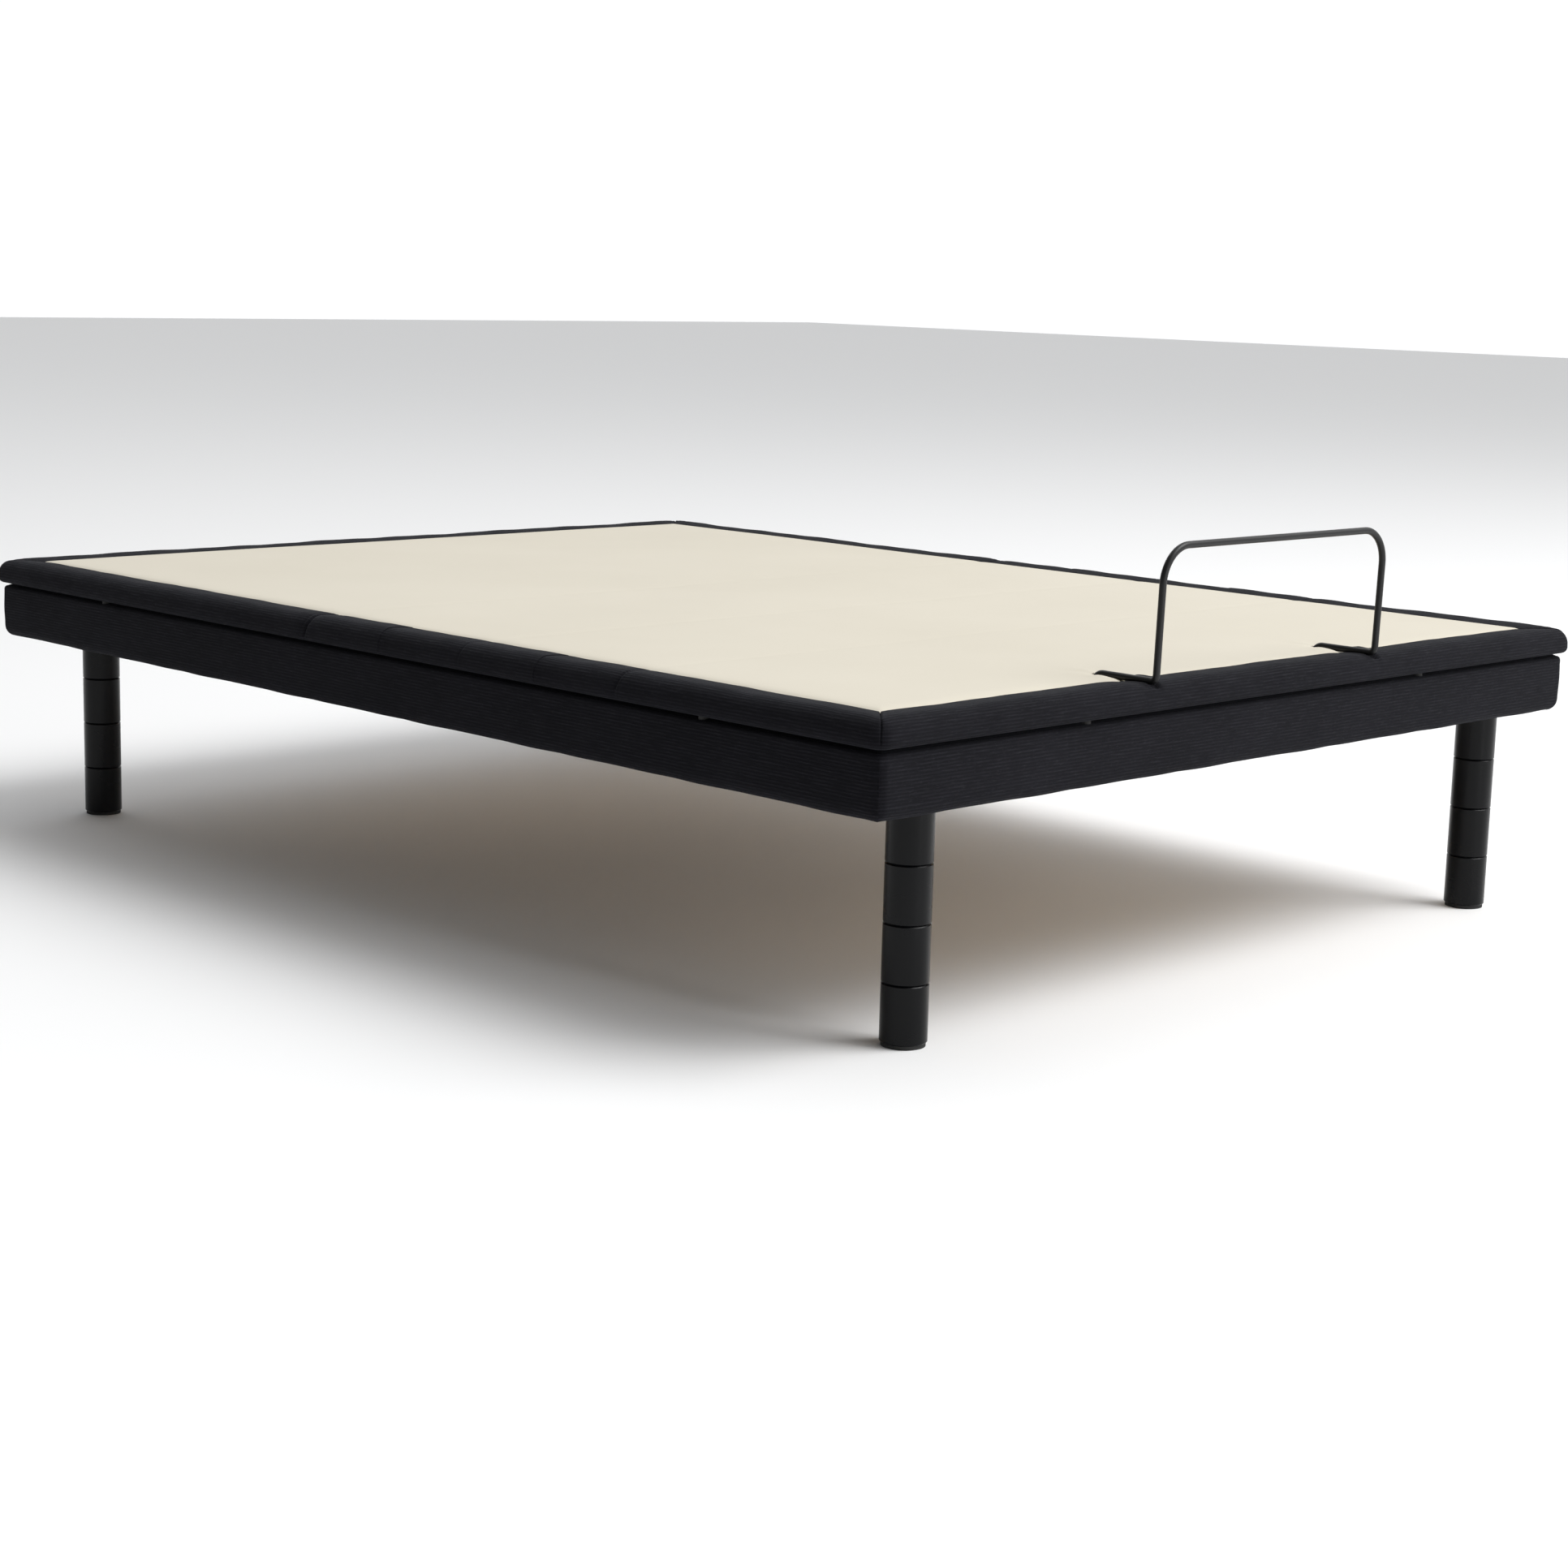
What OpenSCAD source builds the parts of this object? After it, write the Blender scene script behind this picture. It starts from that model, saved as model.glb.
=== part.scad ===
/* [Bed] */
// Width over the padded border
bed_w = 1524; // [1000:1:2000]
// Length over the padded border
bed_l = 2032; // [1850:1:2500]
// Length of the head section
head_len = 886; // [760:1:950]
// Length of the fixed seat section
seat_len = 355; // [300:1:430]
// Length of the thigh section
thigh_len = 323; // [260:1:400]

/* [Legs] */
// Diameter of a leg module
leg_d = 60; // [45:1:80]
// Height of one leg module
module_h = 75; // [50:1:100]
// Modules stacked in each leg
module_count = 4; // [1:1:5]
// Height of the glide under each leg
glide_h = 5; // [3:0.5:10]
// Leg axis in from the side of the bed
leg_in_x = 136; // [110:1:180]
// Side of the foot legs in from the foot end
leg_in_foot = 45; // [45:1:130]
// Side of the head legs in from the head end
leg_in_head = 77; // [45:1:170]
// Diameter of the stud on top of each module
stud_d = 10; // [8:0.5:14]

/* [Base] */
// Height of the fabric covered base panel
skirt_h = 83; // [75:1:110]
// Base panel face in from the border face
skirt_in = 9; // [4:1:20]
// Thickness of the padded fabric on the base panel
skirt_t = 3; // [2:0.5:6]
// Radius of the base panel corners in plan
skirt_r = 25; // [12:1:40]
// Radius of the base panel's lower edge
panel_low_r = 18; // [6:1:20]
// Thickness of the wooden rails
rail_t = 18; // [12:1:25]
// Thickness of the plate on top of each leg
leg_plate_t = 5; // [3:0.5:8]
// Width of a frame side tube
side_tube_w = 50; // [40:1:60]
// Height of a frame side tube
side_tube_h = 30; // [25:1:36]
// Width of a frame cross tube
cross_tube_w = 40; // [30:1:50]
// Height of a frame cross tube
cross_tube_h = 22; // [15:1:24]
// Wall of the frame tubes
tube_wall = 2; // [1.5:0.1:3]
// Room between the frame and the stiffening tubes of the deck
stiff_clear = 1; // [0.5:0.5:10]

/* [Deck] */
// Gap between the base panel and the deck
deck_gap = 5; // [3:0.5:12]
// Thickness of the deck boards
board_t = 16; // [12:1:20]
// Thickness of the foam
foam_t = 20; // [15:1:25]
// Thickness of the deck cover
cover_t = 2; // [1:0.5:3]
// Width of the padded border
border_w = 62; // [45:1:80]
// Radius of the border's top edge
border_r = 18; // [8:1:20]
// Radius of the border corners in plan
border_plan_r = 30; // [15:1:45]
// Foam edge further back from the hinge line than the board edge, at the top
hinge_open = 9; // [8:0.5:18]
// Side of the square stiffening tubes
stiff_w = 25; // [15:1:25]

/* [Hinges] */
// Length of a hinge along its pin
hinge_l = 60; // [40:1:90]
// Reach of a hinge leaf
leaf_reach = 45; // [30:1:60]
// Thickness of a hinge leaf
leaf_t = 2; // [1.5:0.1:3]
// Outer radius of a hinge knuckle
knuckle_r = 4; // [3.5:0.1:5]
// Radius of a hinge pin
hinge_pin_r = 2; // [1.5:0.1:2.5]
// Board edge clear of the hinge knuckles
knuckle_clear = 2; // [1.5:0.1:5]
// Outer hinges in from the side of the boards
hinge_in = 250; // [100:1:320]

/* [Motors] */
// Radius from a hinge line to the lever pin
lever_r = 120; // [115:1:125]
// Rear pivot of a motor from the hinge line
motor_reach = 450; // [420:1:480]
// Rear pivot of a motor below the hinge line
motor_drop = 75; // [70:1:80]
// Motors to each side of the middle
motor_x = 75; // [70:1:100]
// Lever pin radius
lever_pin_r = 7; // [5:0.5:7]
// Rear pivot pin radius
rear_pin_r = 6; // [4:0.5:7]
// Radius of the motor's outer tube
outer_tube_r = 20; // [17:1:22]
// Radius of the motor's rod
rod_r = 11; // [8:0.5:13]

/* [Retainer] */
// Width of the mattress retainer between its posts
retainer_w = 488; // [300:1:700]
// Height of the retainer above the deck
retainer_h = 174; // [120:1:240]
// Radius of the retainer rod
retainer_r = 4.75; // [4:0.25:6]
// Outward lean of the retainer in degrees
retainer_lean = 1.5; // [0:0.5:6]
// Retainer posts in from the foot end
retainer_in = 10; // [8:1:60]
// Retainer hole in the deck from the foot end
retainer_hole_in = 112; // [100:1:160]

/* [Hidden] */
$fn = 64;

fit = 0.05;
stack_gap = 0.2;
clear = 0.3;
hx = bed_w / 2;
hy = bed_l / 2;

// Hinge lines along the bed
y_head = hy - head_len;
y_thigh = y_head - seat_len;
y_knee = y_thigh - thigh_len;
hinge_back = knuckle_r + knuckle_clear;
hinge_top_back = hinge_back + hinge_open;

// Levels above the floor
z_leg = glide_h + module_count * module_h;
z_frame = z_leg + leg_plate_t;
z_cross = z_frame + side_tube_h;
z_deck = z_cross + cross_tube_h + stiff_clear + stiff_w;
z_skirt = z_deck - deck_gap - skirt_h;
z_hinge = z_deck + board_t;
z_foam = z_hinge + foam_t;
z_top = z_foam + cover_t;

// Places across the bed
leg_x = hx - leg_in_x;
leg_y_foot = -hy + leg_in_foot + leg_d / 2;
leg_y_head = hy - leg_in_head - leg_d / 2;
skirt_x = hx - skirt_in;
skirt_y = hy - skirt_in;
rail_x = skirt_x - skirt_t;
rail_y = skirt_y - skirt_t;
rail_in_x = rail_x - rail_t;
rail_in_y = rail_y - rail_t;
board_x = hx - border_w;
board_y = hy - border_w;
hinge_xs = [hinge_in - board_x, 0, board_x - hinge_in];
chamfer = 1.5;

module flip_y(side) {
    mirror([0, side < 0 ? 1 : 0, 0]) children();
}

module at_legs() {
    for (x = [-leg_x, leg_x], y = [leg_y_foot, leg_y_head]) translate([x, y, 0]) children();
}

// A rectangle with round corners, centred on the origin
module round_rect(half_x, half_y, r) {
    square([2 * half_x, 2 * (half_y - r)], center = true);
    square([2 * (half_x - r), 2 * half_y], center = true);
    for (x = [-1, 1], y = [-1, 1]) translate([x * (half_x - r), y * (half_y - r)]) circle(r);
}

// A block with round vertical edges
module round_block(size, r) {
    linear_extrude(size[2]) round_rect(size[0] / 2, size[1] / 2, r);
}

// A hollow box tube along Y, with its lower face at z = 0
module tube_y(w, h, l) {
    difference() {
        translate([-w / 2, -l / 2, 0]) cube([w, l, h]);
        translate([tube_wall - w / 2, -l / 2 - 1, tube_wall])
            cube([w - 2 * tube_wall, l + 2, h - 2 * tube_wall]);
    }
}

module tube_x(w, h, l) {
    rotate([0, 0, 90]) tube_y(w, h, l);
}

// Everything between two lines across the bed
module between(y0, y1) {
    intersection() {
        children();
        translate([-hx - 1, y0, z_deck - 1]) cube([bed_w + 2, y1 - y0, z_top - z_deck + 2]);
    }
}

// The wedge left open along a hinge line, so that the sections fold without touching
module hinge_gap(y) {
    low = z_deck - 2;
    high = z_top + 2;
    slope = (hinge_top_back - hinge_back) / (z_top - z_hinge);
    top_back = hinge_back + slope * (high - z_hinge);
    outline = [
        [-hinge_back, low], [hinge_back, low], [hinge_back, z_hinge],
        [top_back, high], [-top_back, high], [-hinge_back, z_hinge]
    ];
    translate([-hx - 1, y, 0]) rotate([90, 0, 90]) linear_extrude(bed_w + 2) polygon(outline);
}

module hinge_gaps() {
    for (y = [y_head, y_thigh, y_knee]) hinge_gap(y);
}

/* Legs */

// One module: a cylinder with bevelled ends, a stud on top and a threaded hole below
module leg_module() {
    stud_l = 22;
    hole_l = 26;
    r = leg_d / 2;
    h = module_h - stack_gap;
    profile = [
        [0, 0], [r - chamfer, 0], [r, chamfer], [r, h - chamfer], [r - chamfer, h], [0, h]
    ];
    difference() {
        union() {
            rotate_extrude() polygon(profile);
            translate([0, 0, h - 1]) cylinder(d = stud_d, h = stud_l + 1);
        }
        translate([0, 0, -1]) cylinder(d = stud_d + 2 * fit, h = hole_l + 1);
    }
}

module leg(x, y) {
    color("#2c2d30") for (i = [0 : module_count - 1])
        translate([x, y, glide_h + i * module_h]) leg_module();
}

module leg_glides() {
    rim = 2;
    pin_l = 20;
    color("#151515") at_legs() {
        cylinder(d = leg_d - 2 * rim, h = glide_h - stack_gap);
        cylinder(d = stud_d, h = glide_h + pin_l);
    }
}

// The steel plate that a leg screws into, with the four screws that hold it to the side tube
module leg_plates() {
    screw_r = 3;
    head_r = 2 * screw_r;
    head_h = 3;
    rim = head_r + 2;
    side_x = side_tube_w + 50;
    screw_x = side_tube_w / 2 - rim;
    screw_y = sqrt(pow(leg_d / 2 + head_r + 2, 2) - pow(screw_x, 2));
    side_y = 2 * (screw_y + rim);
    color("#26272a") at_legs() translate([0, 0, z_leg]) {
        difference() {
            translate([-side_x / 2, -side_y / 2, 0]) cube([side_x, side_y, leg_plate_t]);
            translate([0, 0, -1]) cylinder(d = stud_d + 2 * fit, h = leg_plate_t + 2);
            for (x = [-screw_x, screw_x], y = [-screw_y, screw_y]) translate([x, y, -1])
                cylinder(r = screw_r + fit, h = leg_plate_t + 2);
        }
        for (x = [-screw_x, screw_x], y = [-screw_y, screw_y]) translate([x, y, -head_h]) {
            cylinder(r = head_r, h = head_h - stack_gap);
            cylinder(r = screw_r, h = head_h + leg_plate_t);
        }
    }
}

/* Steel frame */

// A side tube, with a hole in its lower wall for the top stud of each leg
module side_tube(x) {
    stud_hole_r = stud_d / 2 + 1;
    color("#26272a") difference() {
        translate([x, 0, z_frame]) tube_y(side_tube_w, side_tube_h, 2 * rail_in_y);
        for (y = [leg_y_foot, leg_y_head])
            translate([x, y, z_frame - 1]) cylinder(r = stud_hole_r, h = tube_wall + 2);
    }
}

module cross_tube(y, half_l) {
    color("#26272a") translate([0, y, z_cross]) tube_x(cross_tube_w, cross_tube_h, 2 * half_l);
}

lever_tip = 26;
bar_clear = 9;
lever_room = lever_r + lever_tip + bar_clear + cross_tube_w / 2;
motor_bar_out = max(60, seat_len - motor_reach + lever_room);
y_head_motor = y_head - motor_reach;
y_thigh_motor = y_thigh + motor_reach;
z_motor = z_hinge - motor_drop;
y_head_bar = y_head_motor - motor_bar_out;
y_thigh_bar = y_thigh_motor + motor_bar_out;
side_tube_out = leg_x + side_tube_w / 2;
riser_w = 46;

// Wooden blocks that carry the seat board on the side tubes
module seat_risers() {
    edge = 30;
    riser_h = z_deck - z_cross;
    color("#b08d5e") for (x = [-leg_x, leg_x], y = [y_thigh + edge, y_head - edge - riser_w])
        translate([x - riser_w / 2, y, z_cross]) cube([riser_w, riser_w, riser_h]);
}

/* Base panel: wooden rails wrapped in fabric */

// Outline of a block with round lower edges, as flats of 15 degrees each
function low_round(half_w, z0, h, r) = concat(
    [[-half_w, z0 + h]],
    [for (a = [0 : 15 : 90]) [r * (1 - cos(a)) - half_w, z0 + r * (1 - sin(a))]],
    [for (a = [90 : -15 : 0]) [half_w - r * (1 - cos(a)), z0 + r * (1 - sin(a))]],
    [[half_w, z0 + h]]
);

// A block over the whole plan, with round corners and lower edges, set in by t
module panel_block(t) {
    half_x = skirt_x - t;
    half_y = skirt_y - t;
    z0 = z_skirt + t;
    h = skirt_h - 2 * t;
    low_r = panel_low_r - t;
    intersection() {
        translate([0, 0, z0]) linear_extrude(h) round_rect(half_x, half_y, skirt_r - t);
        rotate([90, 0, 90]) translate([0, 0, -hx]) linear_extrude(bed_w)
            polygon(low_round(half_y, z0, h, low_r));
        rotate([90, 0, 0]) translate([0, 0, -hy]) linear_extrude(bed_l)
            polygon(low_round(half_x, z0, h, low_r));
    }
}

// The space inside the rails, through the whole height
module panel_inside() {
    translate([-rail_in_x, -rail_in_y, 0]) cube([2 * rail_in_x, 2 * rail_in_y, z_top]);
}

module rails() {
    difference() {
        panel_block(skirt_t);
        panel_inside();
    }
}

module side_rail(side) {
    color("#b08d5e") intersection() {
        rails();
        translate([side * (rail_in_x + rail_t / 2) - rail_t / 2, -hy, 0])
            cube([rail_t, bed_l, z_top]);
    }
}

module end_rail(side) {
    color("#b08d5e") intersection() {
        rails();
        translate([-rail_in_x, side * (rail_in_y + rail_t / 2) - rail_t / 2, 0])
            cube([2 * rail_in_x, rail_t, z_top]);
    }
}

// The wrapped fabric: an outer skin with returns under and over the rail
module skirts() {
    difference() {
        panel_block(0);
        panel_block(skirt_t);
        panel_inside();
    }
}

// The quarter of the plan that belongs to the side at +Y, up to the mitre lines
module mitre_quarter(half_x, half_y) {
    far = 40;
    back = 200;
    linear_extrude(z_top) polygon([
        [-half_x - far, half_y + far], [half_x + far, half_y + far],
        [half_x - back, half_y - back], [-half_x + back, half_y - back]
    ]);
}

module end_skirt(side) {
    color("#33343a") intersection() {
        skirts();
        flip_y(side) mitre_quarter(skirt_x, skirt_y);
    }
}

module side_skirt(side) {
    color("#1b1b1e") intersection() {
        skirts();
        rotate([0, 0, -side * 90]) mitre_quarter(skirt_y, skirt_x);
    }
}

// Rubber pads on the base panel, under the raising sections
module deck_pads() {
    pad_r = 8;
    pad_in = 300;
    pad_x = rail_x - rail_t / 2;
    pad_y = rail_y - rail_t / 2;
    side_y = pad_y - pad_in;
    spots = [[pad_x, side_y], [pad_x, -side_y], [pad_x / 2, pad_y], [pad_x / 2, -pad_y]];
    color("#101010") for (p = spots, side = [-1, 1])
        translate([side * p[0], p[1], z_skirt + skirt_h]) cylinder(r = pad_r, h = deck_gap - clear);
}

/* Deck sections */

module boards() {
    difference() {
        translate([-board_x, -board_y, z_deck]) cube([2 * board_x, 2 * board_y, board_t]);
        hinge_gaps();
        for (x = [-retainer_w / 2, retainer_w / 2]) translate([x, y_rod_hole, z_deck - 1])
            cylinder(r = retainer_r + fit, h = board_t + 2);
    }
}

// Pockets under the foam for the hinge leaves
module leaf_pockets() {
    room = 1;
    for (y = [y_head, y_thigh, y_knee], x = hinge_xs)
        translate([x - hinge_l / 2 - room, y - leaf_reach - room, z_hinge - 1])
            cube([hinge_l + 2 * room, 2 * (leaf_reach + room), leaf_t + clear + 1]);
}

// Slots in the foam and the cover where the retainer rod bends down
module retainer_slots() {
    slot_l = retainer_bend + 3 * retainer_r;
    half_w = retainer_r + clear;
    for (x = [-retainer_w / 2, retainer_w / 2])
        translate([x - half_w, y_rod_hole + half_w - slot_l, z_hinge - 1])
            cube([2 * half_w, slot_l, foam_t + cover_t + 2]);
}

// Grooves where the rod lies pressed into the padding
module retainer_grooves() {
    half_w = retainer_r + clear;
    for (x = [-retainer_w / 2, retainer_w / 2])
        translate([x - half_w, -hy - 1, z_rod - half_w])
            cube([2 * half_w, y_rod_hole + half_w + hy + 1, 2 * half_w]);
}

module foams() {
    difference() {
        translate([-board_x, -board_y, z_hinge]) cube([2 * board_x, 2 * board_y, foam_t]);
        hinge_gaps();
        leaf_pockets();
        retainer_slots();
        retainer_grooves();
    }
}

module covers() {
    difference() {
        translate([-board_x, -board_y, z_foam]) cube([2 * board_x, 2 * board_y, cover_t]);
        hinge_gaps();
        retainer_slots();
        retainer_grooves();
    }
}

// Section of the padded border, from its inner face at x = 0 to its outer face
module border_profile() {
    h = z_top - z_deck;
    low_r = 8;
    square([border_w - border_r, h]);
    translate([0, low_r]) square([border_w, h - low_r - border_r]);
    translate([border_w - border_r, h - border_r]) circle(border_r);
    square([border_w - low_r, low_r]);
    translate([border_w - low_r, low_r]) circle(low_r);
}

// One straight run of border along Y, on the +X side, with mitred ends
module border_run(half_x, half_y) {
    intersection() {
        translate([half_x - border_w, half_y, 0]) rotate([90, 0, 0])
            linear_extrude(2 * half_y) border_profile();
        rotate([0, 0, -90]) mitre_quarter(half_y, half_x);
    }
}

module borders() {
    difference() {
        intersection() {
            translate([0, 0, z_deck]) {
                for (side = [0, 180]) rotate([0, 0, side]) border_run(hx, hy);
                for (side = [-90, 90]) rotate([0, 0, side]) border_run(hy, hx);
            }
            translate([0, 0, z_deck]) linear_extrude(z_top) round_rect(hx, hy, border_plan_r);
        }
        hinge_gaps();
        retainer_grooves();
    }
}

stiff_x = 350;
stiff_back = 24;
stiff_end_in = 40;

// Stiffening tubes under a section, between two lines across the bed
module stiffeners(y0, y1) {
    color("#26272a") for (x = [-stiff_x, stiff_x])
        translate([x, (y0 + y1) / 2, z_deck - stiff_w]) tube_y(stiff_w, stiff_w, y1 - y0);
}

/* Hinges */

module knuckle(x0, x1) {
    difference() {
        translate([x0, 0, 0]) rotate([0, 90, 0]) cylinder(r = knuckle_r, h = x1 - x0);
        translate([x0 - 1, 0, 0]) rotate([0, 90, 0]) cylinder(r = hinge_pin_r + fit, h = x1 - x0 + 2);
    }
}

// A leaf on the +Y side; the outer knuckles belong to it, or the middle one
module leaf(outer) {
    start = knuckle_r + 1;
    third = hinge_l / 6;
    gap = 0.3;
    spans = outer ? [[-hinge_l / 2, -third - gap], [third + gap, hinge_l / 2]] : [[-third, third]];
    translate([-hinge_l / 2, start, 0]) cube([hinge_l, leaf_reach - start, leaf_t]);
    for (s = spans) {
        knuckle(s[0], s[1]);
        difference() {
            translate([s[0], 0, 0]) cube([s[1] - s[0], start, leaf_t]);
            translate([s[0] - 1, 0, 0]) rotate([0, 90, 0])
                cylinder(r = hinge_pin_r + fit, h = s[1] - s[0] + 2);
        }
    }
}

module leaves(y, outer, side) {
    for (x = hinge_xs) translate([x, y, z_hinge]) flip_y(side) leaf(outer);
}

module hinge_pins(y) {
    for (x = hinge_xs) translate([x - hinge_l / 2, y, z_hinge]) rotate([0, 90, 0])
        cylinder(r = hinge_pin_r, h = hinge_l);
}

/* Motors, levers and brackets */

lever_deg = 10;
lever_y = lever_r * sin(lever_deg);
lever_z = lever_r * cos(lever_deg);
pin_run = motor_reach + lever_y;
pin_fall = lever_z - motor_drop;
motor_l = sqrt(pin_run * pin_run + pin_fall * pin_fall);
motor_deg = atan2(pin_fall, pin_run);
eye_r = 15;
eye_w = 2 * rod_r + 3;
cheek_t = 5;
cheek_x = eye_w / 2 + 1;

// Places a motor's children at its rear pivot, pointing along +Y and tilted down to the lever pin
module at_motor(x, y, side) {
    translate([x, y, z_motor]) flip_y(side) rotate([-motor_deg, 0, 0]) children();
}

module eye(pin_r) {
    translate([-eye_w / 2, 0, 0]) rotate([0, 90, 0]) difference() {
        cylinder(r = eye_r, h = eye_w);
        translate([0, 0, -1]) cylinder(r = pin_r + fit, h = eye_w + 2);
    }
}

// Gearbox housing with the motor can through it, the outer tube in front and an eye behind
module motor_body() {
    neck = [16, 14, 22];
    neck_y = 12;
    case_y = 22;
    case_size = [76, 130, 70];
    case_r = 14;
    case_end = case_y + case_size[1];
    can_r = 31;
    can_l = 92;
    can_low = 14;
    can_in = 34;
    bore_in = 30;
    tube_end = 350;
    tube_in = 2;
    difference() {
        union() {
            eye(rear_pin_r);
            translate([-neck[0] / 2, neck_y, -neck[2] / 2]) cube(neck);
            translate([0, case_y + case_size[1] / 2, -case_size[2] / 2]) round_block(case_size, case_r);
            translate([0, case_end - can_in, -case_size[2] / 2 - can_low]) cylinder(r = can_r, h = can_l);
            translate([0, case_end - tube_in, 0]) rotate([-90, 0, 0])
                cylinder(r = outer_tube_r, h = tube_end - case_end + tube_in);
        }
        translate([0, case_end - bore_in, 0]) rotate([-90, 0, 0])
            cylinder(r = rod_r + fit, h = tube_end);
    }
}

// Rod with its end eye, and the pin through the eye
module motor_rod() {
    rod_start = 190;
    pin_over = cheek_t + 4;
    pin_wall = 3;
    translate([0, rod_start, 0]) rotate([-90, 0, 0])
        cylinder(r = rod_r, h = motor_l - rod_start - lever_pin_r - pin_wall);
    translate([0, motor_l, 0]) {
        eye(lever_pin_r);
        translate([-eye_w / 2 - pin_over, 0, 0]) rotate([0, 90, 0])
            cylinder(r = lever_pin_r, h = eye_w + 2 * pin_over);
    }
}

// Two cheeks under a section, each with a slot along its length for the rod's pin
module lever(y, side, slot_in, slot_out, play, shift) {
    top_l = 92;
    tip_w = 19;
    corner = 8;
    rim = 7;
    slot_r = lever_pin_r + play;
    foot_y = hinge_back + 4;
    tip = lever_r + slot_out + slot_r + rim;
    d = [sin(lever_deg), -cos(lever_deg)];
    n = [cos(lever_deg), sin(lever_deg)];
    outline = [
        [foot_y, -board_t], d * (tip - corner) - n * tip_w, d * tip - n * (tip_w - corner),
        d * tip + n * (tip_w - corner), d * (tip - corner) + n * tip_w, [foot_y + top_l, -board_t]
    ];
    centre = -n * shift;
    translate([-side * motor_x, y, z_hinge]) flip_y(side) for (s = [-1, 1])
        translate([s * (cheek_x + cheek_t / 2) - cheek_t / 2, 0, 0]) rotate([90, 0, 90])
            linear_extrude(cheek_t) difference() {
                polygon(outline);
                for (r = [lever_r - slot_in, lever_r + slot_out])
                    translate(d * r + centre) circle(slot_r);
                translate(d * (lever_r - slot_in) + centre) rotate(lever_deg - 90)
                    translate([0, fit - slot_r]) square([slot_in + slot_out, 2 * (slot_r - fit)]);
            }
}

// Cheeks under a crossbar, reaching in to the rear pivot, with the pivot pin
module motor_bracket(x, y, side) {
    reach = motor_bar_out + cross_tube_w / 2;
    front = cross_tube_w - reach + 5;
    boss_r = rear_pin_r + 7;
    pad_h = 20;
    pin_over = cheek_t + 3;
    drop = z_cross - z_motor;
    outline = [[-reach, drop], [-reach, drop - pad_h], [0, -boss_r], [0, boss_r], [front, drop]];
    translate([x, y, z_motor]) flip_y(side) {
        for (s = [-1, 1])
            translate([s * (cheek_x + cheek_t / 2) - cheek_t / 2, 0, 0]) rotate([90, 0, 90])
                linear_extrude(cheek_t) difference() {
                    union() {
                        circle(boss_r);
                        polygon(outline);
                    }
                    circle(rear_pin_r + fit);
                }
        translate([-eye_w / 2 - pin_over, 0, 0]) rotate([0, 90, 0])
            cylinder(r = rear_pin_r, h = eye_w + 2 * pin_over);
    }
}

/* Links that keep the foot section level */

plate_t = 5;
link_t = 6;
link_half = 13;
link_pin_r = 5;
link_y = 60;
link_z = 43;
link_x = side_tube_out + 14;

module link(side) {
    color("#303136") translate([side * link_x - link_t / 2, y_thigh - link_y, z_hinge - link_z])
        rotate([90, 0, 90]) linear_extrude(link_t) difference() {
            union() {
                translate([-thigh_len, -link_half]) square([thigh_len, 2 * link_half]);
                circle(link_half);
                translate([-thigh_len, 0]) circle(link_half);
            }
            circle(link_pin_r + fit);
            translate([-thigh_len, 0]) circle(link_pin_r + clear);
        }
}

module pin_along_x(x0, x1, r) {
    translate([min(x0, x1), 0, 0]) rotate([0, 90, 0]) cylinder(r = r, h = abs(x1 - x0));
}

// Plates on the outer faces of the side tubes, each with its pivot pin
module link_frame_brackets() {
    half_w = 30;
    pin_over = 3;
    z_link = z_hinge - link_z;
    plate_x = side_tube_out + plate_t / 2;
    color("#303136") for (side = [-1, 1]) translate([0, y_thigh - link_y, z_link]) {
        difference() {
            translate([side * plate_x - plate_t / 2, -half_w, z_frame - z_link])
                cube([plate_t, 2 * half_w, z_link - z_frame + link_half]);
            pin_along_x(side * (side_tube_out - 1), side * (side_tube_out + plate_t + 1), link_pin_r + fit);
        }
        pin_along_x(side * side_tube_out, side * (link_x + link_t / 2 + pin_over), link_pin_r);
    }
}

// Plates under the foot board, outside the links, each with its pivot pin
module foot_link_brackets() {
    plate_x = link_x + link_t / 2 + 7;
    half_w = 18;
    pin_over = 2;
    color("#303136") for (side = [-1, 1]) translate([0, y_knee - link_y, z_hinge - link_z]) {
        difference() {
            translate([side * (plate_x + plate_t / 2) - plate_t / 2, -half_w, -half_w])
                cube([plate_t, 2 * half_w, half_w + link_z - board_t]);
            pin_along_x(side * (plate_x - 1), side * (plate_x + plate_t + 1), link_pin_r + fit);
        }
        pin_along_x(side * (link_x - link_t / 2 - pin_over), side * (plate_x + plate_t), link_pin_r);
    }
}

/* Electrics */

electrics_x = 310;
seat_mid = (y_head + y_thigh) / 2;

module control_box() {
    size = [170, 120, 40];
    color("#1d1e20") translate([-electrics_x, seat_mid, z_deck - size[2]]) round_block(size, 8);
}

supply_size = [80, 160, 42];
inlet = [22, 14, 12];

// Power supply with the inlet recess for a mains lead in its head end face
module power_supply() {
    color("#1d1e20") translate([electrics_x, seat_mid, z_deck - supply_size[2]]) difference() {
        round_block(supply_size, 6);
        translate([-inlet[0] / 2, supply_size[1] / 2 - inlet[1], (supply_size[2] - inlet[2]) / 2])
            cube([inlet[0], inlet[1] + 1, inlet[2]]);
    }
}

/* Mattress retainer */

retainer_bend = 15;
retainer_low_bend = 9;
retainer_top_bend = 48;

// A bend in the XY plane that starts on the +X axis
module rod_bend(bend_r, sweep) {
    rotate_extrude(angle = sweep) translate([bend_r, 0]) circle(retainer_r);
}

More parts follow.
